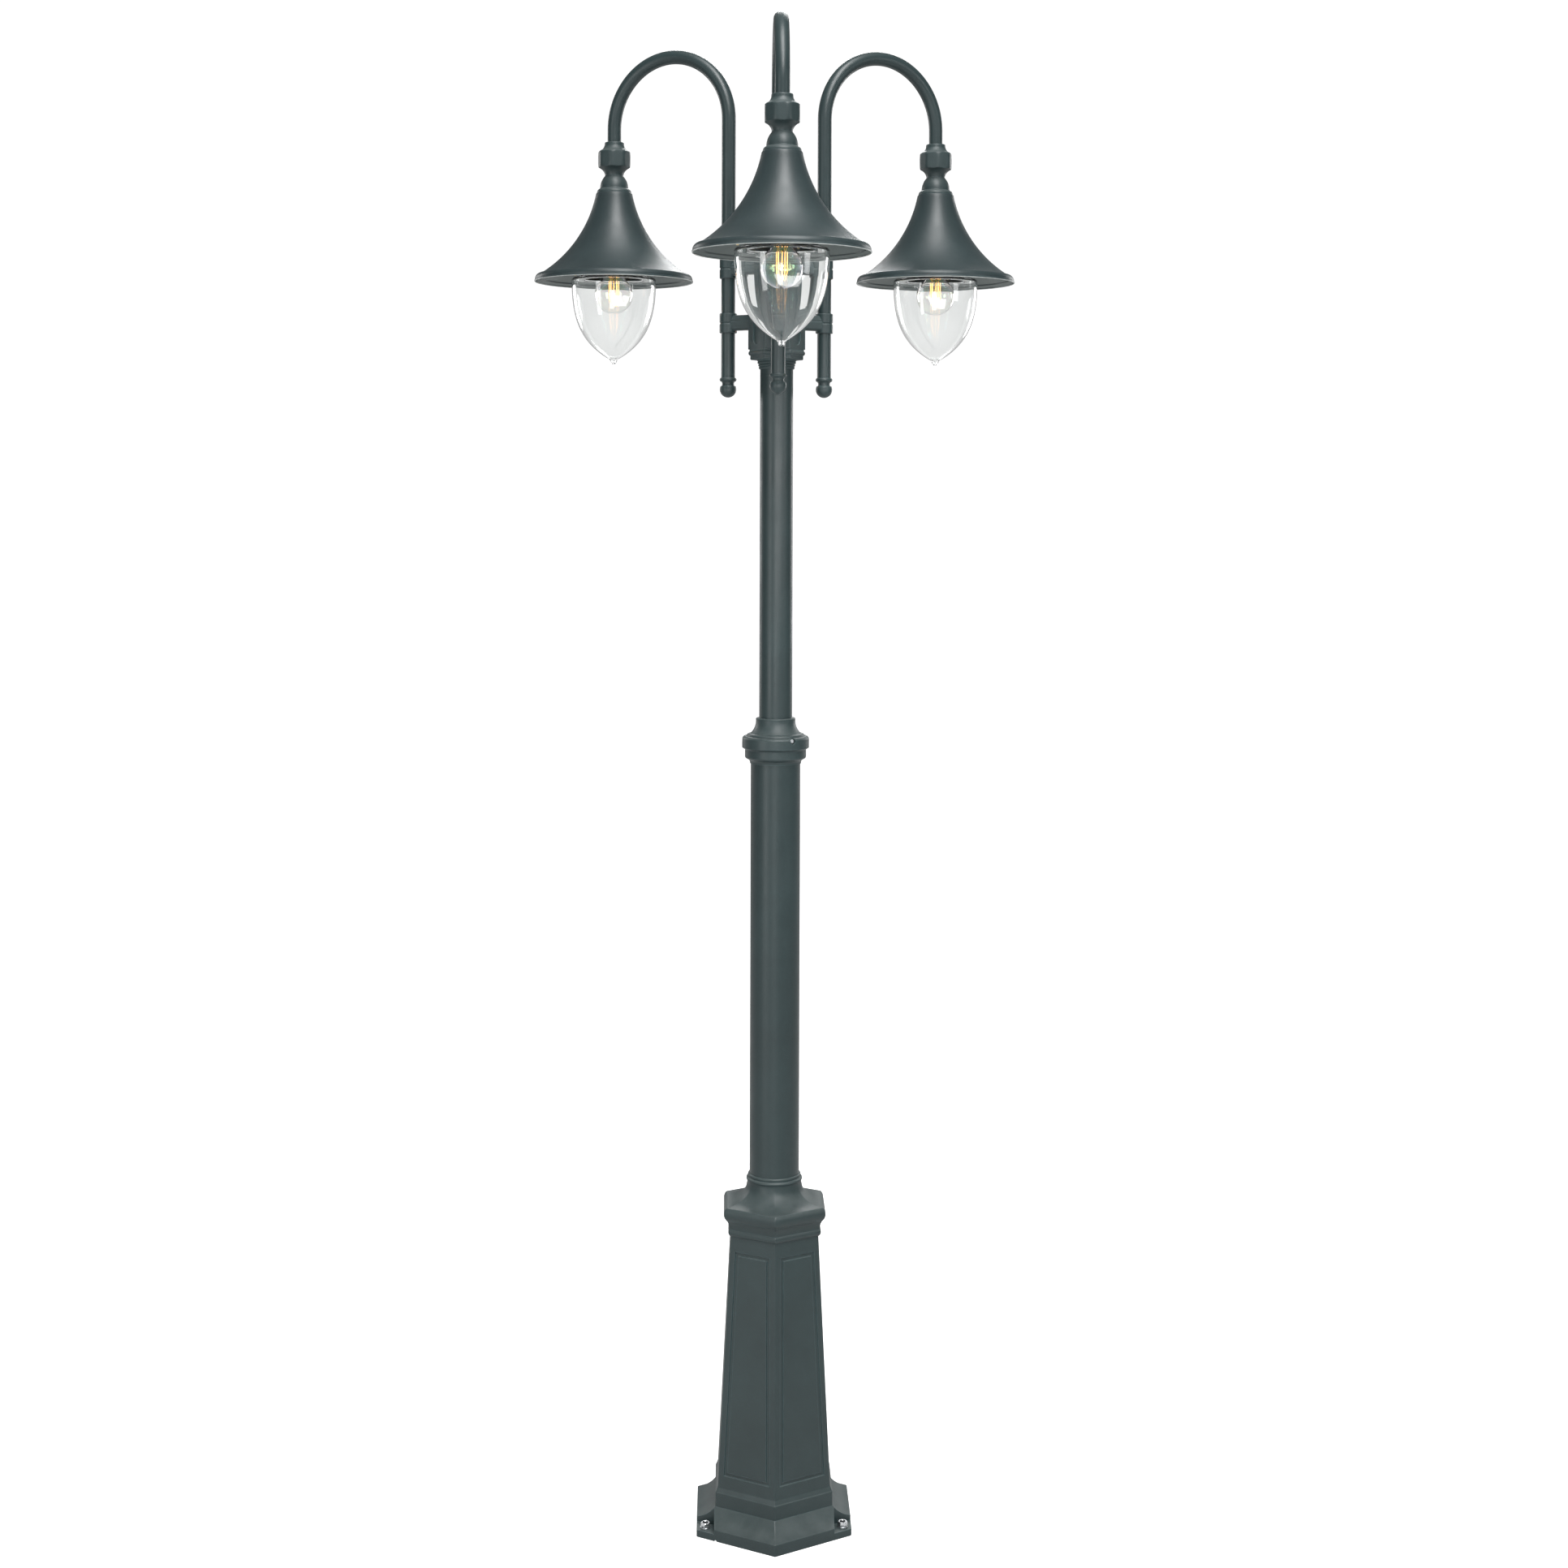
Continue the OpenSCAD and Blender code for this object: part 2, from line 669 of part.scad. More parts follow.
module hub_collar() {
    z0 = -hub_collar_h;
    z_hex = -hub_bead_h - hub_flange_h;
    color(PAINT) translate([0, 0, hub_z]) difference() {
        union() {
            rotate_extrude() polygon([
                [0, z0], [upper_r + 1.4, z0], [upper_r + 2.2, z0 + 1.2], [upper_r + 2.2, z0 + 3],
                [upper_r + 1.6, z0 + 3.8], [upper_r + 2.8, z0 + 4.6], [upper_r + 3.2, z0 + 6.4],
                [upper_r + 2.8, z0 + 7.6], [upper_r + 4, z0 + 8.6], [upper_r + 4.2, z0 + 10.4],
                [upper_r + 3.8, z0 + 11.4], [upper_r + 4.8, z0 + 12.4], [upper_r + 4.8, z_hex + over],
                [0, z_hex + over]
            ]);
            hub_profile([
                [hub_flange_r - 1.2, z_hex], [hub_flange_r, z_hex + 1.2],
                [hub_flange_r - 0.1, -hub_bead_h], [hub_bead_r - 1.2, 0.4 - hub_bead_h],
                [hub_bead_r, 2.4 - hub_bead_h], [hub_bead_r - 0.1, -1.8], [hub_bead_r - 1.2, 0]
            ]);
        }
        translate([0, 0, z0 - over]) cylinder(r = upper_r + fit, h = hub_collar_h - shelf_t + over);
        translate([0, 0, -shelf_t - over])
            cylinder(r = upper_r - upper_wall, h = shelf_t + 2 * over);
    }
}

// upright slot with round ends, sunk into a face between two arms
module face_slot() {
    slot_r = 9;
    slot_z0 = 8 + slot_r;
    translate([flat_r - 2, 0, 0]) rotate([90, 0, 90]) linear_extrude(2 + over) {
        translate([0, slot_z0]) circle(r = slot_r);
        translate([0, hub_h - slot_z0]) circle(r = slot_r);
        translate([-slot_r, slot_z0]) square([2 * slot_r, hub_h - 2 * slot_z0]);
    }
}

module hub_body() {
    inner = hub_r - hub_wall / apo;
    color(PAINT) translate([0, 0, hub_z]) difference() {
        linear_extrude(hub_h) circle(r = hub_r, $fn = 6);
        translate([0, 0, -over]) linear_extrude(shelf_z + over) circle(r = inner, $fn = 6);
        translate([0, 0, shelf_z + shelf_t]) linear_extrude(hub_h) circle(r = inner, $fn = 6);
        cylinder(r = shelf_hole_r, h = hub_h);
        for (az = ARMS) rotate(az) {
            radial(flat_r - hub_wall - over, flat_r + over, sleeve_z1, cable_hole_r);
            for (z = [screw_z0, screw_z1])
                radial(flat_r - hub_wall - over, flat_r + over, z, small_bore);
            rotate(60) face_slot();
        }
    }
}

module hub_cap() {
    inner = hub_r - hub_wall / apo - gap;
    ball_r = ball_d / 2;
    ball_z = 30 + ball_r * sin(50);
    color(PAINT) translate([0, 0, hub_top]) {
        translate([0, 0, -6]) linear_extrude(6 + over) circle(r = inner, $fn = 6);
        hub_profile([
            [hub_bead_r - 1, 0], [hub_bead_r, 1.5], [hub_bead_r - 0.1, 4.5], [hub_bead_r - 3, 6]
        ]);
        rotate_extrude() polygon(concat(
            [[0, 5], [flat_r - 3.4, 5], [flat_r - 3.4, 6.2]],
            arc([flat_r - 4, 7], [12, 22], -22, 7),
            arc([7, 26], [ball_r * 0.6, 30], -8, 3),
            [for (a = [-50 : 10 : 90]) [ball_r * cos(a), ball_z + ball_r * sin(a)]]
        ));
    }
}

module hub_terminal() {
    color(CERAMIC) translate([0, 0, hub_z + shelf_z + shelf_t]) difference() {
        cylinder(r = terminal_apo / apo, h = terminal_h, $fn = 6);
        for (az = ARMS) rotate(az) for (y = [-5, 5])
            translate([terminal_apo - 5, y, terminal_h - 5]) cylinder(r = 1.8, h = 5 + over, $fn = 32);
    }
}

// ---- arms ----

module arm_tube(az) {
    color(PAINT) at_leg(az) difference() {
        union() {
            translate([0, 0, leg_z]) cylinder(r = arm_r, h = crook_z - leg_z);
            translate([crook_r, 0, crook_z]) rotate([90, 0, 0]) rotate_extrude(angle = 180)
                translate([crook_r, 0]) circle(r = arm_r);
            translate([2 * crook_r, 0, rim_z + tube_floor])
                cylinder(r = arm_r, h = hang - tube_floor);
        }
        translate([0, 0, leg_z - over]) cylinder(r = arm_bore, h = crook_z - leg_z + over);
        translate([crook_r, 0, crook_z]) rotate([90, 0, 0]) rotate_extrude(angle = 180)
            translate([crook_r, 0]) circle(r = arm_bore);
        translate([2 * crook_r, 0, rim_z + tube_floor - over])
            cylinder(r = arm_bore, h = hang - tube_floor + over);
        radial(-arm_r - over, 0, hub_z + sleeve_z1, cable_hole_r);
    }
}

// one sleeve: two bands with a groove between, clasping the leg
module sleeve() {
    half = sleeve_h / 2;
    rotate_extrude() polygon([
        [0, -half], [sleeve_r - 0.8, -half], [sleeve_r, 0.8 - half], [sleeve_r, -1.2],
        [sleeve_r - 0.8, -0.6], [sleeve_r - 0.8, 0.6], [sleeve_r, 1.2], [sleeve_r, half - 0.8],
        [sleeve_r - 0.8, half], [0, half]
    ]);
}

// one strut from the plate to the leg
module strut() {
    translate([flat_r + 1, 0, 0]) rotate([90, 0, 90]) linear_extrude(arm_in - flat_r - 1) polygon([
        [-5, strut_up], [5, strut_up], [8.5, 5], [8.5, 2], [strut_half, 1], [strut_half, -8.5],
        [strut_half - 2.5, -strut_down], [2.5 - strut_half, -strut_down], [-strut_half, -8.5],
        [-strut_half, 1], [-8.5, 2], [-8.5, 5]
    ]);
}

module arm_bracket(az) {
    plate_z0 = 2;
    plate_z1 = sleeve_z1 + 18;
    color(PAINT) rotate(az) translate([0, 0, hub_z]) difference() {
        union() {
            translate([flat_r, -plate_w / 2, plate_z0]) cube([bracket_t, plate_w, plate_z1 - plate_z0]);
            for (z = [sleeve_z0, sleeve_z1]) translate([0, 0, z]) {
                strut();
                translate([arm_in, 0, 0]) sleeve();
            }
        }
        for (z = [sleeve_z0, sleeve_z1]) {
            translate([arm_in, 0, z - sleeve_h]) cylinder(r = sleeve_bore, h = 2 * sleeve_h);
            radial(arm_in, arm_in + sleeve_r + over, z + leg_screw_z, small_bore);
        }
        radial(flat_r - over, arm_in, sleeve_z1, cable_hole_r);
        for (z = [screw_z0, screw_z1]) radial(flat_r - over, bracket_r + over, z, small_bore);
    }
}

module bracket_screws() {
    color(PAINT) for (az = ARMS) rotate(az) {
        for (z = [screw_z0, screw_z1]) {
            radial(flat_r - hub_wall, bracket_r, hub_z + z, small_r);
            radial(bracket_r, bracket_r + small_head_h, hub_z + z, small_head_r);
        }
        for (z = [sleeve_z0, sleeve_z1])
            radial(arm_in + sleeve_bore, arm_in + sleeve_r - 0.3, hub_z + z + leg_screw_z, small_r);
    }
}

module finials() {
    ball_r = 12.6;
    top = -ball_r + 4.4;
    color(PAINT) for (az = ARMS) at_leg(az) translate([0, 0, leg_z]) rotate_extrude() polygon(concat(
        [[0, 14], [arm_bore - fit, 14], [arm_bore - fit, 0]],
        arc([arm_r + 0.8, 0], [arm_r + 0.8, -5.6], -3, 4),
        [[9.6, -6.2], [9.2, -9.5], [9.6, -13.2]],
        [for (a = [30 : -12 : -90]) [ball_r * cos(a), -17.7 + ball_r * sin(a)]]
    ));
}

module arm_cables() {
    z = hub_z + sleeve_z1;
    color(BLACK) for (az = ARMS) rotate(az) {
        radial(terminal_apo, arm_in - bend_r, z, cable_r);
        translate([arm_in - bend_r, 0, z + bend_r]) rotate([90, 0, 0]) rotate(-90)
            rotate_extrude(angle = 90) translate([bend_r, 0]) circle(r = cable_r, $fn = 32);
        translate([arm_in, 0, z + bend_r]) cylinder(r = cable_r, h = crook_z - z - bend_r, $fn = 32);
        translate([arm_in + crook_r, 0, crook_z]) rotate([90, 0, 0]) rotate_extrude(angle = 180)
            translate([crook_r, 0]) circle(r = cable_r, $fn = 32);
        translate([arm_out, 0, rim_z + cable_end]) cylinder(r = cable_r, h = hang - cable_end, $fn = 32);
    }
}

// ---- lanterns ----

// eight-sided nut that joins the arm's end to the lantern below it
module coupling(az) {
    z0 = coupling_z0;
    color(PAINT) at_lantern(az) difference() {
        intersection() {
            rotate_extrude() polygon(concat(
                [[0, z0], [14.4, z0]],
                arc([14.4, z0], [22.8, z0 + 12.2], -16, 5),
                arc([25.2, z0 + 13.3], [25.2, z0 + 37], 120, 6),
                arc([19.4, z0 + 40.8], [15.3, z0 + 47.6], -14, 4),
                [[15, coupling_top - 1], [14.2, coupling_top], [0, coupling_top]]
            ));
            translate([0, 0, z0 - over]) rotate(22.5)
                cylinder(r = 26.4, h = coupling_h + 2 * over, $fn = 8);
        }
        translate([0, 0, z0 - over]) cylinder(r = stem_hole_r, h = nut_floor - z0 + 2 * over);
        translate([0, 0, nut_floor]) cylinder(r = nut_well_r, h = coupling_top - nut_floor + over);
        translate([0, 0, tube_floor])
            cylinder(r = arm_r + fit, h = coupling_top - tube_floor + over);
    }
}

module stem_nuts() {
    color(ZINC) for (az = ARMS) at_lantern(az) translate([0, 0, nut_floor]) difference() {
        cylinder(r = nut_r, h = nut_h, $fn = 6);
        translate([0, 0, -over]) cylinder(r = stem_r + fit, h = nut_h + 2 * over);
    }
}

module shade_cap(az) {
    color(PAINT) at_lantern(az) difference() {
        rotate_extrude() polygon(concat(
            [[0, shade_h], [27.1, shade_h]],
            arc([27.1, shade_h + 1], [23, shade_h + 6.6], 6.5, 5),
            arc([22.2, shade_h + 7.2], [14.8, shade_h + cap_h - 0.6], 30, 8),
            [[14, shade_h + cap_h], [0, shade_h + cap_h]]
        ));
        translate([0, 0, shade_h - over]) cylinder(r = stem_hole_r, h = cap_h + 2 * over);
        translate([0, 0, shade_h - over]) cylinder(r = 16, h = 8 + over);
    }
}

module shade(az) {
    top = [28.6, shade_h - 1.2];
    foot = [shade_r - 6.5, 10.2];
    sweep = arc(top, foot, sweep_r, 18);
    inner_foot = [shade_r - 9.9, 9];
    inner_top = [top[0] - 1.3 * shade_wall, shade_h - shade_wall];
    color(PAINT) at_lantern(az) rotate_extrude() polygon(concat(
        [[stem_hole_r, shade_h - shade_wall], [stem_hole_r, shade_h], [27.6, shade_h]],
        sweep,
        arc([shade_r - 5.4, 10], [shade_r - 0.4, 2.4], -9, 4),
        [
            [shade_r, 1.2], [shade_r - 0.2, 0], [shade_r - 1.6, 0], [shade_r - 2.2, 2],
            [shade_r - 7, 5.2], [shade_r - 7.8, 7.4]
        ],
        arc(inner_foot, inner_top, -sweep_r - shade_wall, 18)
    ));
}

// holder for the globe's neck, hung from the shade's crown by its distance sleeve
module gallery(az) {
    r1 = gallery_in + gallery_wall;
    lip_r = neck_r - gasket_w - 1;
    color(INNER) at_lantern(az) difference() {
        rotate_extrude() polygon([
            [r1, gallery_skirt_z], [r1, gallery_lip_z + 10],
            [gallery_top_r, holder_z1 + gallery_wall], [sleeve_tube_r, holder_z1 + gallery_wall],
            [sleeve_tube_r, shade_h - shade_wall], [stem_hole_r, shade_h - shade_wall],
            [stem_hole_r, holder_z1], [gallery_top_r - 0.8, holder_z1],
            [gallery_in, gallery_lip_z + 9.6], [gallery_in, gallery_lip_z + gallery_wall],
            [lip_r, gallery_lip_z + gallery_wall], [lip_r, gallery_lip_z],
            [gallery_in, gallery_lip_z], [gallery_in, gallery_skirt_z]
        ]);
        for (a = ARMS) rotate(a) radial(gallery_in - over, r1 + over, thumb_z, small_bore);
    }
}

module gallery_screws() {
    color(BRASS) for (az = ARMS) at_lantern(az) for (a = ARMS) rotate(a) {
        radial(neck_r + gap, neck_r + 9, thumb_z, small_r);
        radial(neck_r + 9, neck_r + 13, thumb_z, small_head_r);
    }
}

module globe_gaskets() {
    color(BLACK) for (az = ARMS) at_lantern(az) rotate_extrude() polygon([
        [neck_r - gasket_w, neck_top + gap], [neck_r, neck_top + gap],
        [neck_r, gallery_lip_z], [neck_r - gasket_w, gallery_lip_z]
    ]);
}

module lamp_holder(az) {
    color(CERAMIC) at_lantern(az) rotate_extrude() polygon([
        [cap_r + gap, holder_z0], [holder_r - 1, holder_z0], [holder_r, holder_z0 + 1],
        [holder_r, holder_z1 - 8], [holder_r - 3, holder_z1], [stem_r, holder_z1], [stem_r, stem_top],
        [stem_bore, stem_top], [stem_bore, cable_end], [0, cable_end], [0, socket_top],
        [cap_r + gap, socket_top]
    ]);
}

module globe(az) {
    z0 = shoulder_z - 2.5;
    in_r = globe_r - globe_wall;
    in_neck = neck_r - globe_wall;
    in_z = shoulder_z - globe_wall;
    color(GLASS) at_lantern(az) rotate_extrude() polygon(concat(
        [
            [neck_r, neck_top], [neck_r, shoulder_z + 1], [neck_r + 1, shoulder_z],
            [globe_r - 2, shoulder_z], [globe_r - 0.6, shoulder_z - 0.8]
        ],
        curve([globe_r, z0], [globe_r, z0 - 0.44 * globe_h], [globe_r - 10.3, 36.5 - globe_h],
              [8, 6.5 - globe_h], 18),
        [
            [6.2, 4.6 - globe_h], [5.4, 3.4 - globe_h], [4.4, 1.4 - globe_h],
            [2.6, 0.3 - globe_h], [0, -globe_h], [0, 10.5 - globe_h]
        ],
        curve([4, 11.3 - globe_h], [globe_r - 13, 39.5 - globe_h], [in_r, z0 - 0.43 * globe_h],
              [in_r, z0 - 1], 18),
        [
            [in_r - 1.2, in_z], [in_neck + 1, in_z], [in_neck, in_z + 1], [in_neck, neck_top]
        ]
    ));
}

// ---- bulbs ----

// outline of the bulb's glass shrunk by e, from the bottom up to the neck
function bulb_outline(e) = concat(
    [for (a = [-90 : 7.5 : 37.5]) [(bulb_r - e) * cos(a), bulb_z + (bulb_r - e) * sin(a)]],
    arc((bulb_r - e) * [cos(42), sin(42)] + [0, bulb_z], [cap_r - 0.4 - e, bulb_neck_z], -44, 7)
);

module bulb_glass(az) {
    glass_t = 0.9;
    inner = bulb_outline(glass_t);
    color(GLASS) at_lantern(az) rotate_extrude() polygon(concat(
        bulb_outline(0),
        [for (i = [len(inner) - 1 : -1 : 0]) inner[i]]
    ));
}

module bulb_cap(az) {
    color(BRASS) at_lantern(az) rotate_extrude() polygon([
        [0, bulb_neck_z], [cap_r, bulb_neck_z], [cap_r, bulb_neck_z + 20], [cap_r - 4, cap_top],
        [4.5, cap_top], [4, contact_z - 0.6], [2.6, contact_z], [0, contact_z]
    ]);
}

// glass stem, spider, upright wires and the drawn-in foot of the filament cage
module filament(az) {
    wire_r = 0.6;
    wires = 10;
    cage_r = 8;
    z_low = bulb_z - 18;
    z_high = bulb_z + 22;
    bend_h = 9;
    color(GLOW) at_lantern(az) {
        translate([0, 0, z_high]) cylinder(r = 2.4, h = bulb_neck_z - z_high, $fn = 32);
        translate([0, 0, z_high - 1]) cylinder(r = cage_r + 1, h = 1.2, $fn = 32);
        for (i = [0 : wires - 1]) rotate(i * 360 / wires)
            translate([cage_r, 0, z_low + bend_h - 0.5])
                cylinder(r = wire_r, h = z_high - z_low - bend_h, $fn = 16);
        rotate_extrude() polygon([
            [cage_r - 0.8, z_low + bend_h], [cage_r + 0.8, z_low + bend_h],
            [cage_r / 2 + 0.6, z_low], [cage_r / 2 - 0.6, z_low]
        ]);
    }
}

pedestal();
pedestal_cap();
lower_tube();
joint_collar();
collar_screws();
anchor_nuts();
anchor_washers();
inside_screws();
junction_box();
junction_lid();
terminal_block();
inlet_gland();
supply_cable();
earth_stud();
reducer();
upper_tube();
hub_collar();
hub_body();
hub_cap();
hub_terminal();
bracket_screws();
gallery_screws();
stem_nuts();
finials();
globe_gaskets();
arm_cables();
arm_tube(FRONT);  // arm_tube_front
arm_tube(RIGHT);  // arm_tube_right
arm_tube(LEFT);  // arm_tube_left
arm_bracket(FRONT);  // arm_bracket_front
arm_bracket(RIGHT);  // arm_bracket_right
arm_bracket(LEFT);  // arm_bracket_left
coupling(FRONT);  // coupling_front
coupling(RIGHT);  // coupling_right
coupling(LEFT);  // coupling_left
shade_cap(FRONT);  // shade_cap_front
shade_cap(RIGHT);  // shade_cap_right
shade_cap(LEFT);  // shade_cap_left
shade(FRONT);  // shade_front
shade(RIGHT);  // shade_right
shade(LEFT);  // shade_left
gallery(FRONT);  // gallery_front
gallery(RIGHT);  // gallery_right
gallery(LEFT);  // gallery_left
lamp_holder(FRONT);  // lamp_holder_front
lamp_holder(RIGHT);  // lamp_holder_right
lamp_holder(LEFT);  // lamp_holder_left
globe(FRONT);  // globe_front
globe(RIGHT);  // globe_right
globe(LEFT);  // globe_left
bulb_glass(FRONT);  // bulb_glass_front
bulb_glass(RIGHT);  // bulb_glass_right
bulb_glass(LEFT);  // bulb_glass_left
bulb_cap(FRONT);  // bulb_cap_front
bulb_cap(RIGHT);  // bulb_cap_right
bulb_cap(LEFT);  // bulb_cap_left
filament(FRONT);  // filament_front
filament(RIGHT);  // filament_right
filament(LEFT);  // filament_left
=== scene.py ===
import math

import bmesh
import bpy
from mathutils import Matrix, Vector


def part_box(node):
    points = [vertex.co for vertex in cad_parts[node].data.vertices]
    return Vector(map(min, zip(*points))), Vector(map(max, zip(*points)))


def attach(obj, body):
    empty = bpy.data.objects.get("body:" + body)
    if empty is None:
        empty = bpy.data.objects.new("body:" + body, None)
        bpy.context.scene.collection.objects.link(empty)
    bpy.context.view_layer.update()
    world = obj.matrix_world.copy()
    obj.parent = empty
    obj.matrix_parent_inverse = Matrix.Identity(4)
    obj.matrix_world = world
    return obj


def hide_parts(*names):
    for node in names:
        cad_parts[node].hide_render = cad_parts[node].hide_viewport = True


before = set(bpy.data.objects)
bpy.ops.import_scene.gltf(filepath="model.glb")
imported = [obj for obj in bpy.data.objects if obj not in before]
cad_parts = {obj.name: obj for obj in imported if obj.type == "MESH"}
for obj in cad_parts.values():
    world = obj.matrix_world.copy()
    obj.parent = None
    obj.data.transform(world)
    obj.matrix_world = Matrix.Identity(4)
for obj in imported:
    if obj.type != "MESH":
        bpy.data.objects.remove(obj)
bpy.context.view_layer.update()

# ---- Pedestal -------------------------------------------------------------------------
# A hollow hexagonal casting in aluminium: wide foot plate, hollow skirt, plain band and a
# tapered column with a framed groove on each face. It is cast in one, fettled and powder
# coated dark grey-green, and every other corner is pocketed for an anchor nut.
MM = 0.001
APOTHEM = math.cos(math.radians(30))


def solid(name, verts, faces):
    """closed mesh from points in millimetres"""
    mesh = bpy.data.meshes.new(name)
    mesh.from_pydata([tuple(c * MM for c in v) for v in verts], [], faces)
    work = bmesh.new()
    work.from_mesh(mesh)
    bmesh.ops.remove_doubles(work, verts=work.verts, dist=1e-7)
    bmesh.ops.dissolve_degenerate(work, edges=work.edges, dist=1e-8)
    bmesh.ops.recalc_face_normals(work, faces=work.faces)
    work.to_mesh(mesh)
    work.free()
    obj = bpy.data.objects.new(name, mesh)
    bpy.context.scene.collection.objects.link(obj)
    return obj


def loft(name, rings, closed=False, capped=True):
    """skin over rings of equally many points; closed joins the last ring to the first"""
    n, m = len(rings[0]), len(rings)
    faces = []
    for j in range(m if closed else m - 1):
        a, b = j * n, (j + 1) % m * n
        faces += [(a + i, a + (i + 1) % n, b + (i + 1) % n, b + i) for i in range(n)]
    if capped and not closed:
        faces += [tuple(range(n))[::-1], tuple(range((m - 1) * n, m * n))]
    return solid(name, [p for ring in rings for p in ring], faces)


def bow(a, b, r, n=8):
    """points on an arc of radius |r| from a to b, its centre on the left for positive r"""
    a, b = Vector(a), Vector(b)
    d = b - a
    rise = math.sqrt(max(r * r - d.length_squared / 4, 0)) * (1 if r > 0 else -1)
    c = (a + b) / 2 + Vector((-d.y, d.x)).normalized() * rise
    start = math.atan2(a.y - c.y, a.x - c.x)
    turn = math.atan2(b.y - c.y, b.x - c.x) - start
    turn -= 2 * math.pi * round(turn / (2 * math.pi))
    return [(c.x + abs(r) * math.cos(start + turn * i / n), c.y + abs(r) * math.sin(start + turn * i / n))
            for i in range(n + 1)]


def eased(points, n=4, loop=True):
    """outline whose corners given as (x, y, ease) are rounded off by about that radius"""
    out = []
    count = len(points)
    for i, p in enumerate(points):
        ends = not loop and i in (0, count - 1)
        if len(p) < 3 or ends:
            out.append((p[0], p[1]))
            continue
        b = Vector(p[:2])
        u, v = Vector(points[i - 1][:2]) - b, Vector(points[(i + 1) % count][:2]) - b
        angle = max(u.angle(v), 0.2)
        reach = min(p[2] / math.tan(angle / 2), 0.45 * u.length, 0.45 * v.length)
        u, v = b + u.normalized() * reach, b + v.normalized() * reach
        for k in range(n + 1):
            t = k / n
            q = (1 - t) ** 2 * u + 2 * t * (1 - t) * b + t * t * v
            out.append((q.x, q.y))
    return out


def hex_ring(corner_r, z, ease=2.0, turn=30.0, round_off=0.0, flats=0):
    """hexagonal ring with eased corners; round_off 1 makes it a circle"""
    away = corner_r - ease / APOTHEM
    edge = math.atan2(ease * 0.5, away + ease * APOTHEM)
    ring = []
    for k in range(6):
        steps = [-edge, -edge / 2, 0, edge / 2, edge]
        steps += [edge + (math.radians(60) - 2 * edge) * i / (flats + 1) for i in range(1, flats + 1)]
        for s in steps:
            off = abs(s) if s <= edge + 1e-9 else min(s, math.radians(60) - s)
            if off < edge:
                rho = away * math.cos(off) + math.sqrt(max(ease ** 2 - (away * math.sin(off)) ** 2, 0))
            else:
                rho = corner_r * APOTHEM / math.cos(math.radians(30) - off)
            rho = rho * (1 - round_off) + corner_r * round_off
            a = math.radians(turn + 60 * k) + s
            ring.append((rho * math.cos(a), rho * math.sin(a), z))
    return ring


def hex_solid(name, outline, ease=2.0, turn=30.0):
    return loft(name, [hex_ring(r, z, ease, turn) for r, z in outline])


def ring_of(outline, steps):
    return [[(r * math.cos(2 * math.pi * i / steps), r * math.sin(2 * math.pi * i / steps), z)
             for i in range(steps)] for r, z in outline]


def turned(name, outline, steps=96):
    """closed outline turned round the axis; one that begins and ends on it has no bore"""
    solid_core = outline[0][0] == 0 and outline[-1][0] == 0
    return loft(name, ring_of(outline, steps), closed=not solid_core, capped=False)


def bar(r, z0, z1, steps=48):
    """plain round bar on the axis, for boring holes"""
    return turned("bar", [(0, z0), (r, z0), (r, z1), (0, z1)], steps)


def prism(name, outline, z0, z1):
    return loft(name, [[(x, y, z0) for x, y in outline], [(x, y, z1) for x, y in outline]])


def about_z(degrees):
    return Matrix.Rotation(math.radians(degrees), 4, "Z")


def shift(x, y, z):
    return Matrix.Translation((x, y, z))


def moved(obj, matrix):
    """moves the mesh itself, with the matrix's shift in millimetres"""
    m = matrix.copy()
    m.translation = m.translation * MM
    obj.data.transform(m)
    return obj


def settled(obj):
    """the object with its modifiers worked into its mesh"""
    shape = obj.evaluated_get(bpy.context.evaluated_depsgraph_get())
    mesh = bpy.data.meshes.new_from_object(shape)
    obj.modifiers.clear()
    obj.data = mesh
    return obj


def combined(obj, tool, how="DIFFERENCE"):
    step = obj.modifiers.new("combine", "BOOLEAN")
    step.operation = how
    step.solver = "MANIFOLD"
    step.object = tool
    settled(obj)
    bpy.data.objects.remove(tool)
    return obj


def dressed(obj, material, body, stands_for=(), sharp=34):
    """surface normals, material and the piece's place in the assembly"""
    obj.data.shade_smooth()
    obj.data.set_sharp_from_angle(angle=math.radians(sharp))
    obj.modifiers.new("even", "WEIGHTED_NORMAL").keep_sharp = True
    obj.data.materials.clear()
    obj.data.materials.append(material)
    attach(obj, body)
    if stands_for:
        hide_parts(*stands_for)
    return obj


def new_material(name):
    made = bpy.data.materials.new(name)
    made.use_nodes = True
    return made, made.node_tree, made.node_tree.nodes["Principled BSDF"]


def part(tree, kind, inputs=None, **settings):
    """one shader node, with its settings and its unlinked or linked inputs"""
    made = tree.nodes.new(kind)
    for key, value in settings.items():
        setattr(made, key, value)
    for key, value in (inputs or {}).items():
        if isinstance(value, bpy.types.NodeSocket):
            tree.links.new(value, made.inputs[key])
        else:
            made.inputs[key].default_value = value
    return made


def grain(tree, scale, detail=3.0, rough=0.5, where="Object"):
    place = part(tree, "ShaderNodeTexCoord")
    return part(tree, "ShaderNodeTexNoise", {"Vector": place.outputs[where], "Scale": scale,
                                             "Detail": detail, "Roughness": rough}).outputs["Fac"]


def spread(tree, value, low, high, to_low=0.0, to_high=1.0):
    return part(tree, "ShaderNodeMapRange", {"Value": value, "From Min": low, "From Max": high,
                                             "To Min": to_low, "To Max": to_high}).outputs["Result"]


def patches(tree, scale, detail, rough, low=0.0, high=1.0):
    """soft clouding between two values"""
    return spread(tree, grain(tree, scale, detail, rough), 0.3, 0.7, low, high)


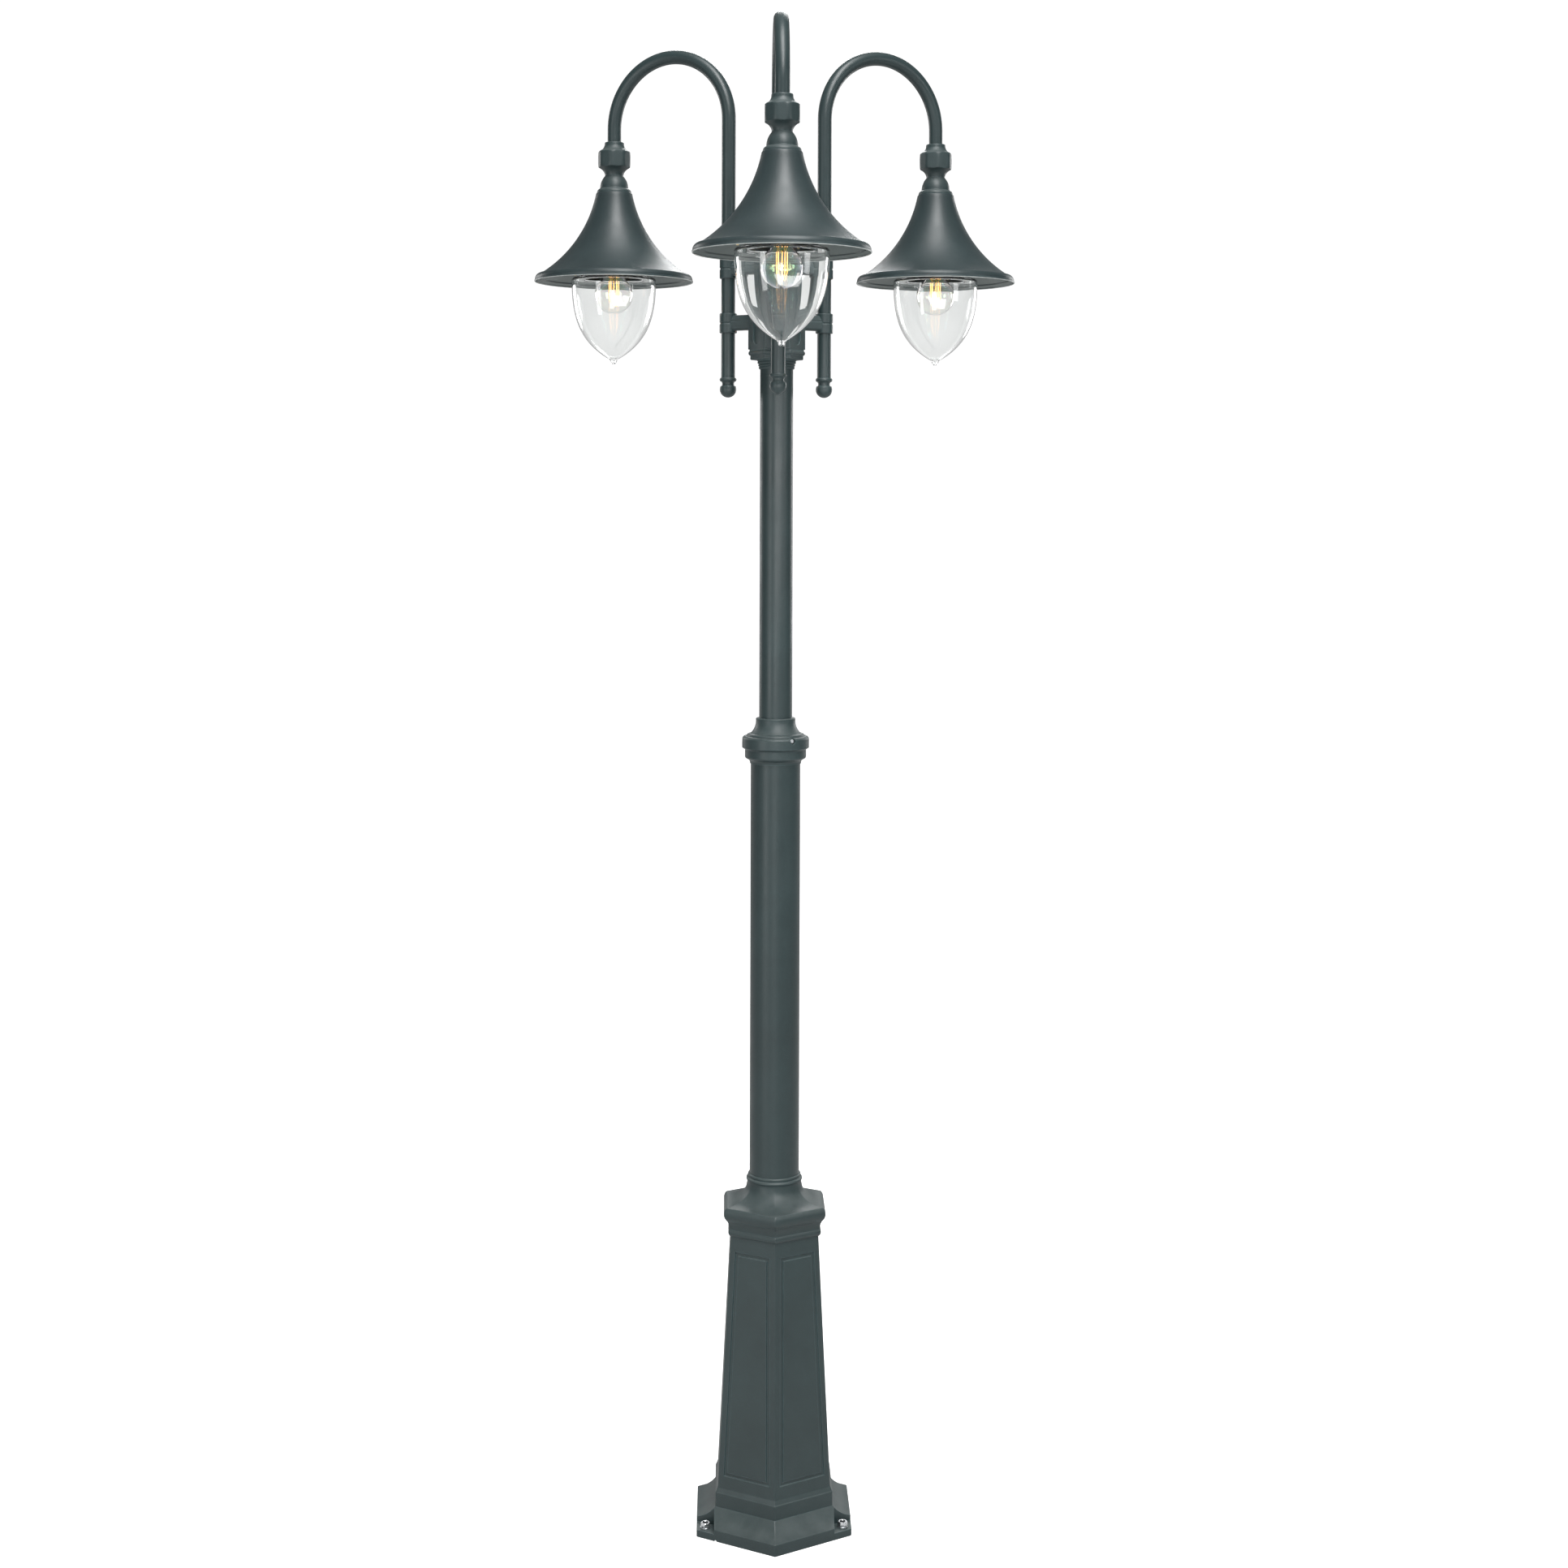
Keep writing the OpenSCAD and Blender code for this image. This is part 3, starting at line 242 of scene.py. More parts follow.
def textured(tree, skin, strength, depth, *noise):
    """fine bumps over the whole surface"""
    height = grain(tree, *noise)
    bumps = part(tree, "ShaderNodeBump", {"Height": height, "Strength": strength, "Distance": depth})
    tree.links.new(bumps.outputs["Normal"], skin.inputs["Normal"])


def times(tree, a, b):
    return part(tree, "ShaderNodeMath", {0: a, 1: b}, operation="MULTIPLY").outputs[0]


def toned(colour, k=1.0):
    """the colour made k times as light, as a socket takes it"""
    return tuple(c * k for c in colour) + (1,)


def blended(tree, share, a, b):
    mix = part(tree, "ShaderNodeMix", data_type="RGBA")
    for socket, value in ((mix.inputs[0], share), (mix.inputs[6], a), (mix.inputs[7], b)):
        if isinstance(value, bpy.types.NodeSocket):
            tree.links.new(value, socket)
        else:
            socket.default_value = value
    return mix.outputs[2]


def powder_coat(name, colour, gloss=0.42, bump=0.35, dust=0.5):
    """baked powder paint: slight orange peel, fine metallic grain, dust on top, and edges lightened as scuffing
    and as a painted highlight
    """
    made, tree, skin = new_material(name)
    tone = blended(tree, patches(tree, 9, 5, 0.6), toned(colour, 0.82), toned(colour, 1.16))
    fleck = spread(tree, grain(tree, 2600, 1, 0.5), 0.60, 0.72)
    tone = blended(tree, times(tree, fleck, 0.35), tone, toned(colour, 3.2))
    shape = part(tree, "ShaderNodeNewGeometry")
    # edges, hollow ones too, are painted up to three times lighter: partly scuffing, partly a painted highlight
    eased_edge = part(tree, "ShaderNodeBevel", {"Radius": 0.002}, samples=6)
    turn = part(tree, "ShaderNodeVectorMath", {0: eased_edge.outputs["Normal"], 1: shape.outputs["Normal"]},
                operation="DOT_PRODUCT").outputs["Value"]
    edge = spread(tree, turn, 0.985, 0.84)
    scuff_and_painted_highlight = times(tree, edge, spread(tree, grain(tree, 60, 4, 0.7), 0.35, 0.7, 0.4, 1.0))
    tone = blended(tree, scuff_and_painted_highlight, tone, toned(colour, 3.0))
    up = part(tree, "ShaderNodeSeparateXYZ", {"Vector": shape.outputs["Normal"]}).outputs["Z"]
    upward = spread(tree, up, 0.12, 0.85)
    patchy = spread(tree, grain(tree, 38, 6, 0.65), 0.3, 0.75, 0.35 * dust, dust)
    settled_dust = times(tree, upward, patchy)
    tone = blended(tree, settled_dust, tone, (0.10, 0.118, 0.116, 1))
    tree.links.new(tone, skin.inputs["Base Color"])
    sheen = patches(tree, 26, 4, 0.6, gloss - 0.04, gloss + 0.05)
    tree.links.new(blended(tree, settled_dust, sheen, (0.75, 0.75, 0.75, 1)), skin.inputs["Roughness"])
    textured(tree, skin, bump, 0.00012, 620, 2, 0.5)
    skin.inputs["Specular IOR Level"].default_value = 0.45
    skin.inputs["Metallic"].default_value = 0.0
    return made


PAINT_COLOUR = (0.020, 0.034, 0.0355)
casting_paint = powder_coat("powder_coat_on_casting", PAINT_COLOUR, 0.44, 0.5)

BASE_R, PLATE_T, BAND_R, BAND_Z, SKIRT_Z = 133.0, 17.0, 101.0, 60.0, 38.0
LEDGE_Z, COLUMN_Z, COLUMN_R0, COLUMN_R1, NECK_Z, NECK_R0 = 66.0, 437.0, 97.0, 76.0, 462.0, 84
WALL_R, TUBE_WAY_R = 6.9, 34.5
ANCHORS, ANCHOR_R, ANCHOR_HOLE_R = (90, 210, 330), 118.0, 4.5
POCKET_Z, POCKET_R, DRAIN_R = 10.5, 30.0, 2.5

pedestal = hex_solid("pedestal_casting", eased(
    [(BASE_R - 1, 0), (BASE_R, 1.0), (BASE_R, PLATE_T, 1.4)]
    + bow((BASE_R - 1.6, PLATE_T + 0.7), (BAND_R + 0.6, SKIRT_Z - 0.2), -60, 10)
    + [(BAND_R, SKIRT_Z, 0.6), (BAND_R, BAND_Z - 1.5, 0.9), (BAND_R - 1.2, BAND_Z, 0.8),
       (COLUMN_R0 + 0.4, LEDGE_Z - 0.6, 0.8), (COLUMN_R0 - 0.1, LEDGE_Z + 1.4),
       (COLUMN_R1, COLUMN_Z - 0.6, 0.3), (COLUMN_R1 + 1.5, COLUMN_Z + 0.4, 0.4)]
    + bow((COLUMN_R1 + 2.2, COLUMN_Z + 1.0), (COLUMN_R1 + 3.0, COLUMN_Z + 9.4), 6.2, 8)
    + [(COLUMN_R1 + 2.3, COLUMN_Z + 10.2)]
    + bow((COLUMN_R1 + 2.5, COLUMN_Z + 10.6), (NECK_R0, NECK_Z - 0.6), -18, 8)
    + [(NECK_R0, NECK_Z)], 3, loop=False), ease=2.6)
hollow = hex_solid("hollow", [(BAND_R - WALL_R, -2), (BAND_R - WALL_R, SKIRT_Z), (COLUMN_R0 - WALL_R, LEDGE_Z),
                              (COLUMN_R1 - WALL_R, COLUMN_Z), (COLUMN_R1 - WALL_R - 0.1, NECK_Z - 8)])
combined(pedestal, hollow)
combined(pedestal, bar(TUBE_WAY_R, NECK_Z - 9, NECK_Z + 2, 96))

# the framed groove is milled into the pattern: four mitred runs with sloping sides
lean = math.atan((COLUMN_R0 - COLUMN_R1) * APOTHEM / (COLUMN_Z - LEDGE_Z))
span = (COLUMN_Z - LEDGE_Z) / math.cos(lean)
GROOVE_W, GROOVE_DEEP, GROOVE_IN, GROOVE_FOOT, GROOVE_HEAD = 6.0, 1.6, 9.0, 18, 22


def groove_loop(e, deep):
    """one line of the groove round a face, e inward from its outer edge, deep under the face"""
    low, high = GROOVE_FOOT + e, span - GROOVE_HEAD - e
    half = [(COLUMN_R0 + (COLUMN_R1 - COLUMN_R0) * v / span) / 2 - GROOVE_IN - e for v in (low, high)]
    return [(deep, -half[0], low), (deep, half[0], low), (deep, half[1], high), (deep, -half[1], high)]


section = [(-0.9, 0.9), (0.1, -0.1), (0.9, -GROOVE_DEEP), (GROOVE_W - 0.9, -GROOVE_DEEP),
           (GROOVE_W - 0.1, -0.1), (GROOVE_W + 0.9, 0.9)]
for k in range(6):
    cutter = loft("groove", [groove_loop(e, d) for e, d in section], closed=True)
    moved(cutter, about_z(60 * k) @ shift(COLUMN_R0 * APOTHEM, 0, LEDGE_Z) @ Matrix.Rotation(-lean, 4, "Y"))
    combined(pedestal, cutter)
for az in ANCHORS:
    half, side = POCKET_R / 2, POCKET_R * APOTHEM
    corners = [(BASE_R - POCKET_R, 0, 2), (BASE_R - half, side), (BASE_R + half, side), (BASE_R + POCKET_R, 0),
               (BASE_R + half, -side), (BASE_R - half, -side)]
    combined(pedestal, moved(prism("pocket", eased(corners[::-1]), POCKET_Z, BAND_Z), about_z(az)))
    combined(pedestal, moved(bar(ANCHOR_HOLE_R, -2, 20), about_z(az) @ shift(ANCHOR_R, 0, 0)))
combined(pedestal, moved(bar(DRAIN_R, -20, 20, 32), about_z(210) @ shift(BASE_R, 0, 0) @ about_z(120)
                         @ shift(POCKET_R + 2, 0, 0) @ Matrix.Rotation(math.radians(90), 4, "X")))
dressed(pedestal, casting_paint, "post", ["pedestal"])

# ---- Anchor nuts and washers ----------------------------------------------------------
# M8 hexagon nuts with chamfered corners on plain washers, cold formed in steel and bright
# zinc plated, one pair in each pocket of the foot plate.
NUT_R, NUT_H, NUT_BORE, WASHER_R, WASHER_BORE, WASHER_T = 7.4, 6.5, 4.05, 8, 4.25, 1.6


def plated(name, colour, rough=0.3, scale=70, metallic=1.0):
    """plated or polished metal with a cloudy tone and fine working marks"""
    made, tree, skin = new_material(name)
    cloud = patches(tree, scale, 6, 0.65)
    tree.links.new(blended(tree, cloud, toned(colour, 0.74), toned(colour)), skin.inputs["Base Color"])
    tree.links.new(patches(tree, scale * 4, 4, 0.7, rough - 0.08, rough + 0.14),
                   skin.inputs["Roughness"])
    textured(tree, skin, 0.3, 0.00008, 1500, 3, 0.6)
    skin.inputs["Metallic"].default_value = metallic
    return made


zinc = plated("bright_zinc", (0.74, 0.76, 0.78), 0.27)


def nut(name, corner_r, height, bore, chamfer=0.9, steps=72):
    """hexagon nut: the chamfer cone bites further down at the corners"""
    flat = corner_r * APOTHEM
    rings = []
    for r, z in ((bore, 0), (bore + 0.4, 0), (flat * 0.97, 0), (None, 0), (None, 1),
                 (flat * 0.97, height), (bore + 0.4, height), (bore, height - 0.4), (bore, 0.4)):
        ring = []
        for i in range(steps):
            a = 2 * math.pi * i / steps
            rho = flat / math.cos((a + math.pi / 6) % (math.pi / 3) - math.pi / 6)
            drop = (rho - flat) * chamfer + 0.35
            if r is None:
                ring.append((rho * math.cos(a), rho * math.sin(a), drop if z == 0 else height - drop))
            else:
                ring.append((r * math.cos(a), r * math.sin(a), z))
        rings.append(ring)
    return loft(name, rings, closed=True)


def washer(name, r, bore, thick):
    return turned(name, eased([(bore, 0, 0.2), (r, 0, 0.4), (r, thick, 0.4), (bore, thick, 0.2)]), 64)


def at_anchor(az, z):
    """a nut's place, each left at its own turn"""
    return about_z(az) @ shift(ANCHOR_R, 0, z) @ about_z(az % 47)


def gathered(name, objects):
    """one object from several"""
    work = bmesh.new()
    for o in objects:
        work.from_mesh(o.data)
        bpy.data.objects.remove(o)
    mesh = bpy.data.meshes.new(name)
    work.to_mesh(mesh)
    work.free()
    obj = bpy.data.objects.new(name, mesh)
    bpy.context.scene.collection.objects.link(obj)
    return obj


nuts = gathered("anchor_nut_set", [
    moved(nut("n", NUT_R, NUT_H, NUT_BORE), at_anchor(az, POCKET_Z + WASHER_T)) for az in ANCHORS])
dressed(nuts, zinc, "post", ["anchor_nuts"])
washers = gathered("anchor_washer_set", [
    moved(washer("w", WASHER_R, WASHER_BORE, WASHER_T), at_anchor(az, POCKET_Z)) for az in ANCHORS])
dressed(washers, zinc, "post", ["anchor_washers"])

# ---- Pedestal cap ---------------------------------------------------------------------
# A casting that closes the pedestal: a rolled hexagonal edge, a hollow flare whose corners
# die away into a circle, and two beads round the foot of the tube. Screwed from inside.
ROLL_R, FLARE_R, FLARE_FOOT, FLARE_Z, LIP_R, SOCKET_R = 88.0, 83.4, NECK_Z + 18.2, 510.0, 41.9, 37.6
FLARE_TOP, FLARE_RISE = LIP_R - 0.8, 29.8

rings = []
for r, z in bow((84.6, NECK_Z), (84.4, NECK_Z + 17.6), 12.5, 12):
    rings.append(hex_ring(min(r, ROLL_R), z, 3.0, flats=9))
rings.append(hex_ring(FLARE_R, FLARE_FOOT, 3.0, flats=9))
for i in range(1, 25):
    t = i / 24
    rings.append(hex_ring(FLARE_R - (FLARE_R - FLARE_TOP) * math.sin(math.pi / 2 * t),
                          FLARE_FOOT + FLARE_RISE * (1 - math.cos(math.pi / 2 * t)), 3.0,
                          round_off=min(1.0, 1.15 * t) ** 1.3, flats=9))
cap = loft("pedestal_cap_casting", rings)
beads = turned("beads", eased(
    [(0, FLARE_Z - 0.8), (FLARE_TOP - 0.2, FLARE_Z - 0.8), (FLARE_TOP + 0.2, FLARE_Z + 1, 0.4)]
    + bow((LIP_R - 0.6, FLARE_Z + 1.5), (LIP_R - 1.2, FLARE_Z + 6.4), 2.9, 8)
    + [(LIP_R - 2.7, FLARE_Z + 7.2, 0.3)]
    + bow((LIP_R - 2.4, FLARE_Z + 7.9), (LIP_R - 3.4, FLARE_Z + 11.8), 2.6, 6)
    + [(LIP_R - 3.9, FLARE_Z + 12), (0, FLARE_Z + 12)], loop=False))
combined(cap, beads, "UNION")
combined(cap, turned("socket", [(0, NECK_Z - 2), (TUBE_WAY_R, NECK_Z - 2), (TUBE_WAY_R, NECK_Z + 4),
                                (SOCKET_R, NECK_Z + 4), (SOCKET_R, FLARE_Z + 14), (0, FLARE_Z + 14)]))
dressed(cap, casting_paint, "post", ["pedestal_cap"])

# ---- Fittings inside the pedestal -----------------------------------------------------
# Screws up into the cap, a grey moulded junction box with its lid and cable gland, a
# porcelain terminal block, a brass earth stud and the sheathed supply cable up the tube.
brass = plated("turned_brass", (0.78, 0.60, 0.30), 0.3, 120)


def moulded(name, colour, rough, scale=300, bump=0.25, coat=0.0):
    """moulded or fired material: faint mottling and a fine skin"""
    made, tree, skin = new_material(name)
    mottle = patches(tree, scale / 6, 5, 0.6)
    tree.links.new(blended(tree, mottle, toned(colour, 0.86), toned(colour)), skin.inputs["Base Color"])
    tree.links.new(patches(tree, scale / 2, 4, 0.6, rough - 0.05, rough + 0.08),
                   skin.inputs["Roughness"])
    textured(tree, skin, bump, 0.0001, scale * 5, 3, 0.6)
    skin.inputs["Coat Weight"].default_value = coat
    return made


porcelain = moulded("glazed_porcelain", (0.80, 0.78, 0.72), 0.2, 120, 0.1, 0.5)
box_plastic = moulded("grey_moulding", (0.30, 0.31, 0.31), 0.55)
black_plastic = moulded("black_nylon", (0.018, 0.018, 0.019), 0.5)
sheath = moulded("cable_sheath", (0.014, 0.014, 0.015), 0.6, 200, 0.4)
gasket_rubber = moulded("gasket_rubber", (0.02, 0.02, 0.02), 0.75, 400, 0.5)
for node_name, finish in (("inside_screws", zinc), ("junction_box", box_plastic), ("junction_lid", box_plastic),
                          ("terminal_block", porcelain), ("inlet_gland", black_plastic),
                          ("supply_cable", sheath), ("earth_stud", brass), ("hub_terminal", porcelain),
                          ("stem_nuts", zinc), ("arm_cables", sheath)):
    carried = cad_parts[node_name]
    carried.data.materials.clear()
    carried.data.materials.append(finish)

# ---- Pole tubes -----------------------------------------------------------------------
# Two lengths of drawn steel tube, 75 mm below and 50 mm above, cut square, deburred and
# powder coated. The lower one stands in the cap and the upper one in the reducer's spigot.
tube_paint = powder_coat("powder_coat_on_tube", (0.018, 0.031, 0.0325), 0.40, 0.3, 0.12)
LOWER_R, LOWER_BORE, LOWER_FOOT, LOWER_TOP = 37.5, 34.5, 466, 1166
UPPER_R, UPPER_BORE, UPPER_FOOT, UPPER_TOP = 25, 22.5, 1110, 1762


def straight_tube(name, r, bore, z0, z1, steps=128):
    """cut length of tube, its ends deburred"""
    burr = 0.4
    rows = [(r, z0 + (z1 - z0) * i / 24) for i in range(1, 24)]
    outline = [(bore, z0, burr), (r, z0, burr)] + rows + [(r, z1, burr), (bore, z1, burr)]
    return turned(name, eased(outline), steps)


dressed(straight_tube("lower_pole_tube", LOWER_R, LOWER_BORE, LOWER_FOOT, LOWER_TOP), tube_paint,
        "post", ["lower_tube"])
dressed(straight_tube("upper_pole_tube", UPPER_R, UPPER_BORE, UPPER_FOOT, UPPER_TOP), tube_paint,
        "head", ["upper_tube"])

# ---- Swivel joint ---------------------------------------------------------------------
# A cast collar on the lower tube holds the flange of the reducer, which turns in it and is
# clamped by three set screws sunk in round notches. Both castings are powder coated.
JOINT_Z = 1170.0
SCREWS, SCREW_Z = (-60, 60, 180), JOINT_Z + 8.6


def lying(az, r, z):
    """matrix that lays a piece along the radius at bearing az, its foot at radius r"""
    return about_z(az) @ shift(r, 0, z) @ Matrix.Rotation(math.radians(90), 4, "Y")


collar = turned("joint_collar_casting", eased(
    [(37.6, -28.5), (38.6, -28.5)] + bow((38.7, -27.8), (40.4, -23.2), -7, 6)
    + [(45.4, -20.4, 0.8), (46.3, -18.6, 0.8), (46.3, -7.6, 0.8), (47.6, -6.4, 0.8), (50.7, -4.6, 0.9)]
    + bow((50.7, 8.8), (46.4, 13), 5.4, 8)
    + [(44.2, 13, 0.3), (44.2, 0), (34.5, 0), (34.5, -4), (37.6, -4)]), 128)
moved(collar, shift(0, 0, JOINT_Z))
for az in SCREWS:
    combined(collar, moved(bar(3, -2, 12, 32), lying(az, 43, SCREW_Z)))
    notch = turned("notch", [(0, 0), (4.0, 0), (4.4, 0.6), (4.9, 8), (0, 8)], 48)
    combined(collar, moved(notch, lying(az, 45.8, SCREW_Z)))
dressed(collar, casting_paint, "post", ["joint_collar"])


def key_way(r, z0, z1):
    """the hexagonal hole for a key"""
    corners = [(r * math.cos(math.pi / 3 * i), r * math.sin(math.pi / 3 * i)) for i in range(6)]
    return prism("key", corners, z0, z1)


def set_screw(name, r, length, socket):
    """hexagon-socket set screw with a cup point, head up"""
    body = turned(name, eased([(0, 0), (r * 0.55, 0, 0.3), (r, 0.7, 0.3), (r, length, 0.5), (0, length)],
                              loop=False), 48)
    return combined(body, key_way(socket, length * 0.45, length + 1))


grubs = gathered("collar_set_screws", [
    moved(set_screw("g", 2.85, 4.2, 1.6), lying(az, 44.3, SCREW_Z)) for az in SCREWS])
dressed(grubs, zinc, "post", ["collar_screws"])

reducer = turned("reducer_casting", eased(
    [(22.5, -70), (33.2, -70), (34.2, -69, 0.4), (34.2, 0), (43.9, 0, 0.4), (43.9, 12.8)]
    + bow((43.7, 13.6), (41.2, 16.4), 3.2, 6)
    + bow((38.0, 16.9), (29.9, 36.4), -27, 16)
    + [(29.9, 37.2), (30.0, 39.2, 1.0), (28.6, 40.3, 0.8), (25.1, 40.3), (25.1, -60), (22.5, -60)]), 128)
moved(reducer, shift(0, 0, JOINT_Z))
dressed(reducer, casting_paint, "head", ["reducer"])

# ---- Hub ------------------------------------------------------------------------------
# A hexagonal cast box on a turned and hexagonal collar at the head of the pole, slotted on
# the faces between the arms, and closed by a low dome with a ball on its neck.
HUB_Z, HUB_H, HUB_R = 1766.0, 160.0, 41.5
FLAT_R, INNER_R = HUB_R * APOTHEM, HUB_R - 5 / APOTHEM
FLOOR_Z, ROOF_Z = 112, 116
SLOT_R, SLOT_FOOT, SLOT_HEAD, SLOT_DEEP = 9, 17, 143, 2
PAN_SCREWS, SCREW_WAY_R = (14, 86.25), 2.6
WIRE_WAY_Z, WIRE_WAY_R = 128, 5.5
ARM_TURNS = {"front": -90, "right": 30, "left": 150}


def arc_at(x, y, r, bearings):
    """points on a circle about (x, y), one at each bearing in degrees"""
    return [(x + r * math.cos(math.radians(a)), y + r * math.sin(math.radians(a))) for a in bearings]


hub_foot = turned("hub_collar_casting", eased(
    [(0, -28), (26.2, -28, 0.5), (27.2, -26.6, 0.6), (27.2, -24.9, 0.5), (26.4, -24.1, 0.3)]
    + bow((27.2, -23.6), (27.3, -20.6), 1.9, 6) + [(27.1, -20.2)]
    + bow((28.6, -19.6), (28.4, -16.4), 2.2, 6)
    + [(28.9, -16.0, 0.3), (29.8, -15.2, 0.4), (29.8, -13.4), (0, -13.4)], loop=False), 128)
hub_plate = hex_solid("hub_plate", eased(
    [(HUB_R - 2.3, -14), (HUB_R - 1.1, -12.8, 0.6), (HUB_R - 1.2, -7.6, 0.3)]
    + bow((HUB_R - 0.1, -7.2), (HUB_R - 0.1, -0.6), 3.9, 8) + [(HUB_R - 0.2, 0)], loop=False), 1.6, 0)
combined(hub_foot, hub_plate, "UNION")
combined(hub_foot, turned("way", [(0, -30), (25.1, -30), (25.1, -4), (UPPER_BORE, -4),
                                  (UPPER_BORE, 2), (0, 2)]))
moved(hub_foot, shift(0, 0, HUB_Z))
dressed(hub_foot, casting_paint, "head", ["hub_collar"])

hub = hex_solid("hub_box_casting", [(HUB_R - 0.3, 0), (HUB_R, 0.3), (HUB_R, HUB_H - 0.3),
                                    (HUB_R - 0.3, HUB_H)], 1.8, 0)
combined(hub, hex_solid("room", [(INNER_R, -2), (INNER_R, FLOOR_Z)], 1, 0))
combined(hub, hex_solid("room", [(INNER_R, ROOF_Z), (INNER_R, HUB_H + 2)], 1, 0))
combined(hub, bar(6.5, 100, 130))
slot = arc_at(0, SLOT_FOOT, SLOT_R, range(180, 361, 12)) + arc_at(0, SLOT_HEAD, SLOT_R, range(0, 181, 12))
slot_z = (SLOT_FOOT + SLOT_HEAD) / 2
wide = [(x * 1.05, slot_z + (y - slot_z) * 1.006) for x, y in slot]
for az in ARM_TURNS.values():
    combined(hub, moved(bar(WIRE_WAY_R, -9, 4), lying(az, FLAT_R, WIRE_WAY_Z)))
    for z in PAN_SCREWS:
        combined(hub, moved(bar(SCREW_WAY_R, -9, 4, 32), lying(az, FLAT_R, z)))
    sunk = loft("slot", [[(r, x, y) for x, y in line] for r, line in
                         ((FLAT_R - SLOT_DEEP, slot), (FLAT_R + 0.2, wide), (FLAT_R + SLOT_DEEP, wide))])
    combined(hub, moved(sunk, about_z(az + 60)))
moved(hub, shift(0, 0, HUB_Z))
dressed(hub, casting_paint, "head", ["hub_body"])

lid = hex_solid("hub_cap_casting", eased(
    [(HUB_R + 0.2, 0), (HUB_R + 1.2, 1.5, 0.7), (HUB_R + 1.1, 4.5, 0.8), (HUB_R - 1.8, 6)], loop=False), 1.8, 0)
combined(lid, hex_solid("spigot", [(INNER_R - 0.3, -6), (INNER_R - 0.3, 2)], 1, 0), "UNION")
dome = turned("dome", eased(
    [(0, 4), (FLAT_R - 3.4, 4), (FLAT_R - 3.4, 6.2, 0.4)] + bow((FLAT_R - 4, 7), (12, 22), -22, 14)
    + [(12, 22.4, 0.6), (9, 24, 0.6)] + bow((7.2, 26), (6.9, 29.6), -6, 5)
    + arc_at(0, 38.4, 11, range(-50, 90, 7)) + [(0, 49.4)], loop=False), 96)
combined(lid, dome, "UNION")
moved(lid, shift(0, 0, HUB_Z + HUB_H))
dressed(lid, casting_paint, "head", ["hub_cap"])

# ---- Arm brackets ---------------------------------------------------------------------
# Each is one casting: a plate screwed to a flat of the hub, two moulded struts and two
# banded sleeves that clasp the arm's inner leg, with painted screws.
ARM_IN, SLEEVE_R, SLEEVE_BORE, SLEEVES = 85.0, 13.35, 10.75, (44.5, 128.0)
PLATE_HALF, PLATE_FOOT, PLATE_HEAD, PLATE_DEEP, GRUB_UP = 18, 2, 146, 4, 7


def bracket():
    """the plate's front edges are eased by e; struts and sleeves are then joined to it and bored"""
    plate = loft("arm_bracket", [
        [(x, s * (PLATE_HALF - e), z) for s, z in ((-1, PLATE_FOOT + e), (1, PLATE_FOOT + e),
                                                   (1, PLATE_HEAD - e), (-1, PLATE_HEAD - e))]
        for x, e in ((FLAT_R, 0), (FLAT_R + 3.2, 0), (FLAT_R + 3.8, 0.25), (FLAT_R + PLATE_DEEP, 0.8))])
    for z in SLEEVES:
        outline = eased([(-5, 11.7, 1), (5, 11.7, 1), (8.6, 5, 0.6), (8.6, 2.2, 0.4), (9.5, 1.2, 0.5),
                         (9.5, -8.5, 1), (7, -11.3, 1), (-7, -11.3, 1), (-9.5, -8.5, 1), (-9.5, 1.2, 0.5),
                         (-8.6, 2.2, 0.4), (-8.6, 5, 0.6)], 3)
        strut = loft("strut", [[(x, a, z + b) for a, b in outline] for x in (FLAT_R + 1, ARM_IN)])
        combined(plate, strut, "UNION")
        sleeve = turned("sleeve", eased(
            [(0, -15), (12.6, -15, 0.5), (SLEEVE_R, -14.2, 0.5), (SLEEVE_R, -1.6, 0.5), (12.3, -0.7, 0.3),
             (12.3, 0.7, 0.3), (SLEEVE_R, 1.6, 0.5), (SLEEVE_R, 14.2, 0.5), (12.6, 15, 0.5), (0, 15)],
            loop=False), 96)
        combined(plate, moved(sleeve, shift(ARM_IN, 0, z)), "UNION")
    for z in SLEEVES:
        combined(plate, moved(bar(SLEEVE_BORE, -20, 20, 96), shift(ARM_IN, 0, z)))
        combined(plate, moved(bar(SCREW_WAY_R, 0, 20, 32), lying(0, ARM_IN, z + GRUB_UP)))
    combined(plate, moved(bar(WIRE_WAY_R, 0, 45), lying(0, FLAT_R - 1, WIRE_WAY_Z)))
    for z in PAN_SCREWS:
        combined(plate, moved(bar(SCREW_WAY_R, 0, 8, 32), lying(0, FLAT_R - 1, z)))
    return moved(plate, shift(0, 0, HUB_Z))


def repeated(pattern, side, matrix, name):
    """copy of a pattern piece set at one arm, its shift in millimetres"""
    made = bpy.data.objects.new(f"{name}_{side}", pattern.data)
    bpy.context.scene.collection.objects.link(made)
    place = matrix.copy()
    place.translation = place.translation * MM
    made.matrix_world = place
    return made


def on_each_arm(pattern, name, body, node_prefix, material, sharp=34, where=None):
    """one copy of the pattern on each arm; where gives its matrix, the arm's bearing if left out"""
    for side, az in ARM_TURNS.items():
        made = repeated(pattern, side, where(side) if where else about_z(az), name)
        dressed(made, material, body.format(side=side), [f"{node_prefix}_{side}"], sharp)
    bpy.data.objects.remove(pattern)


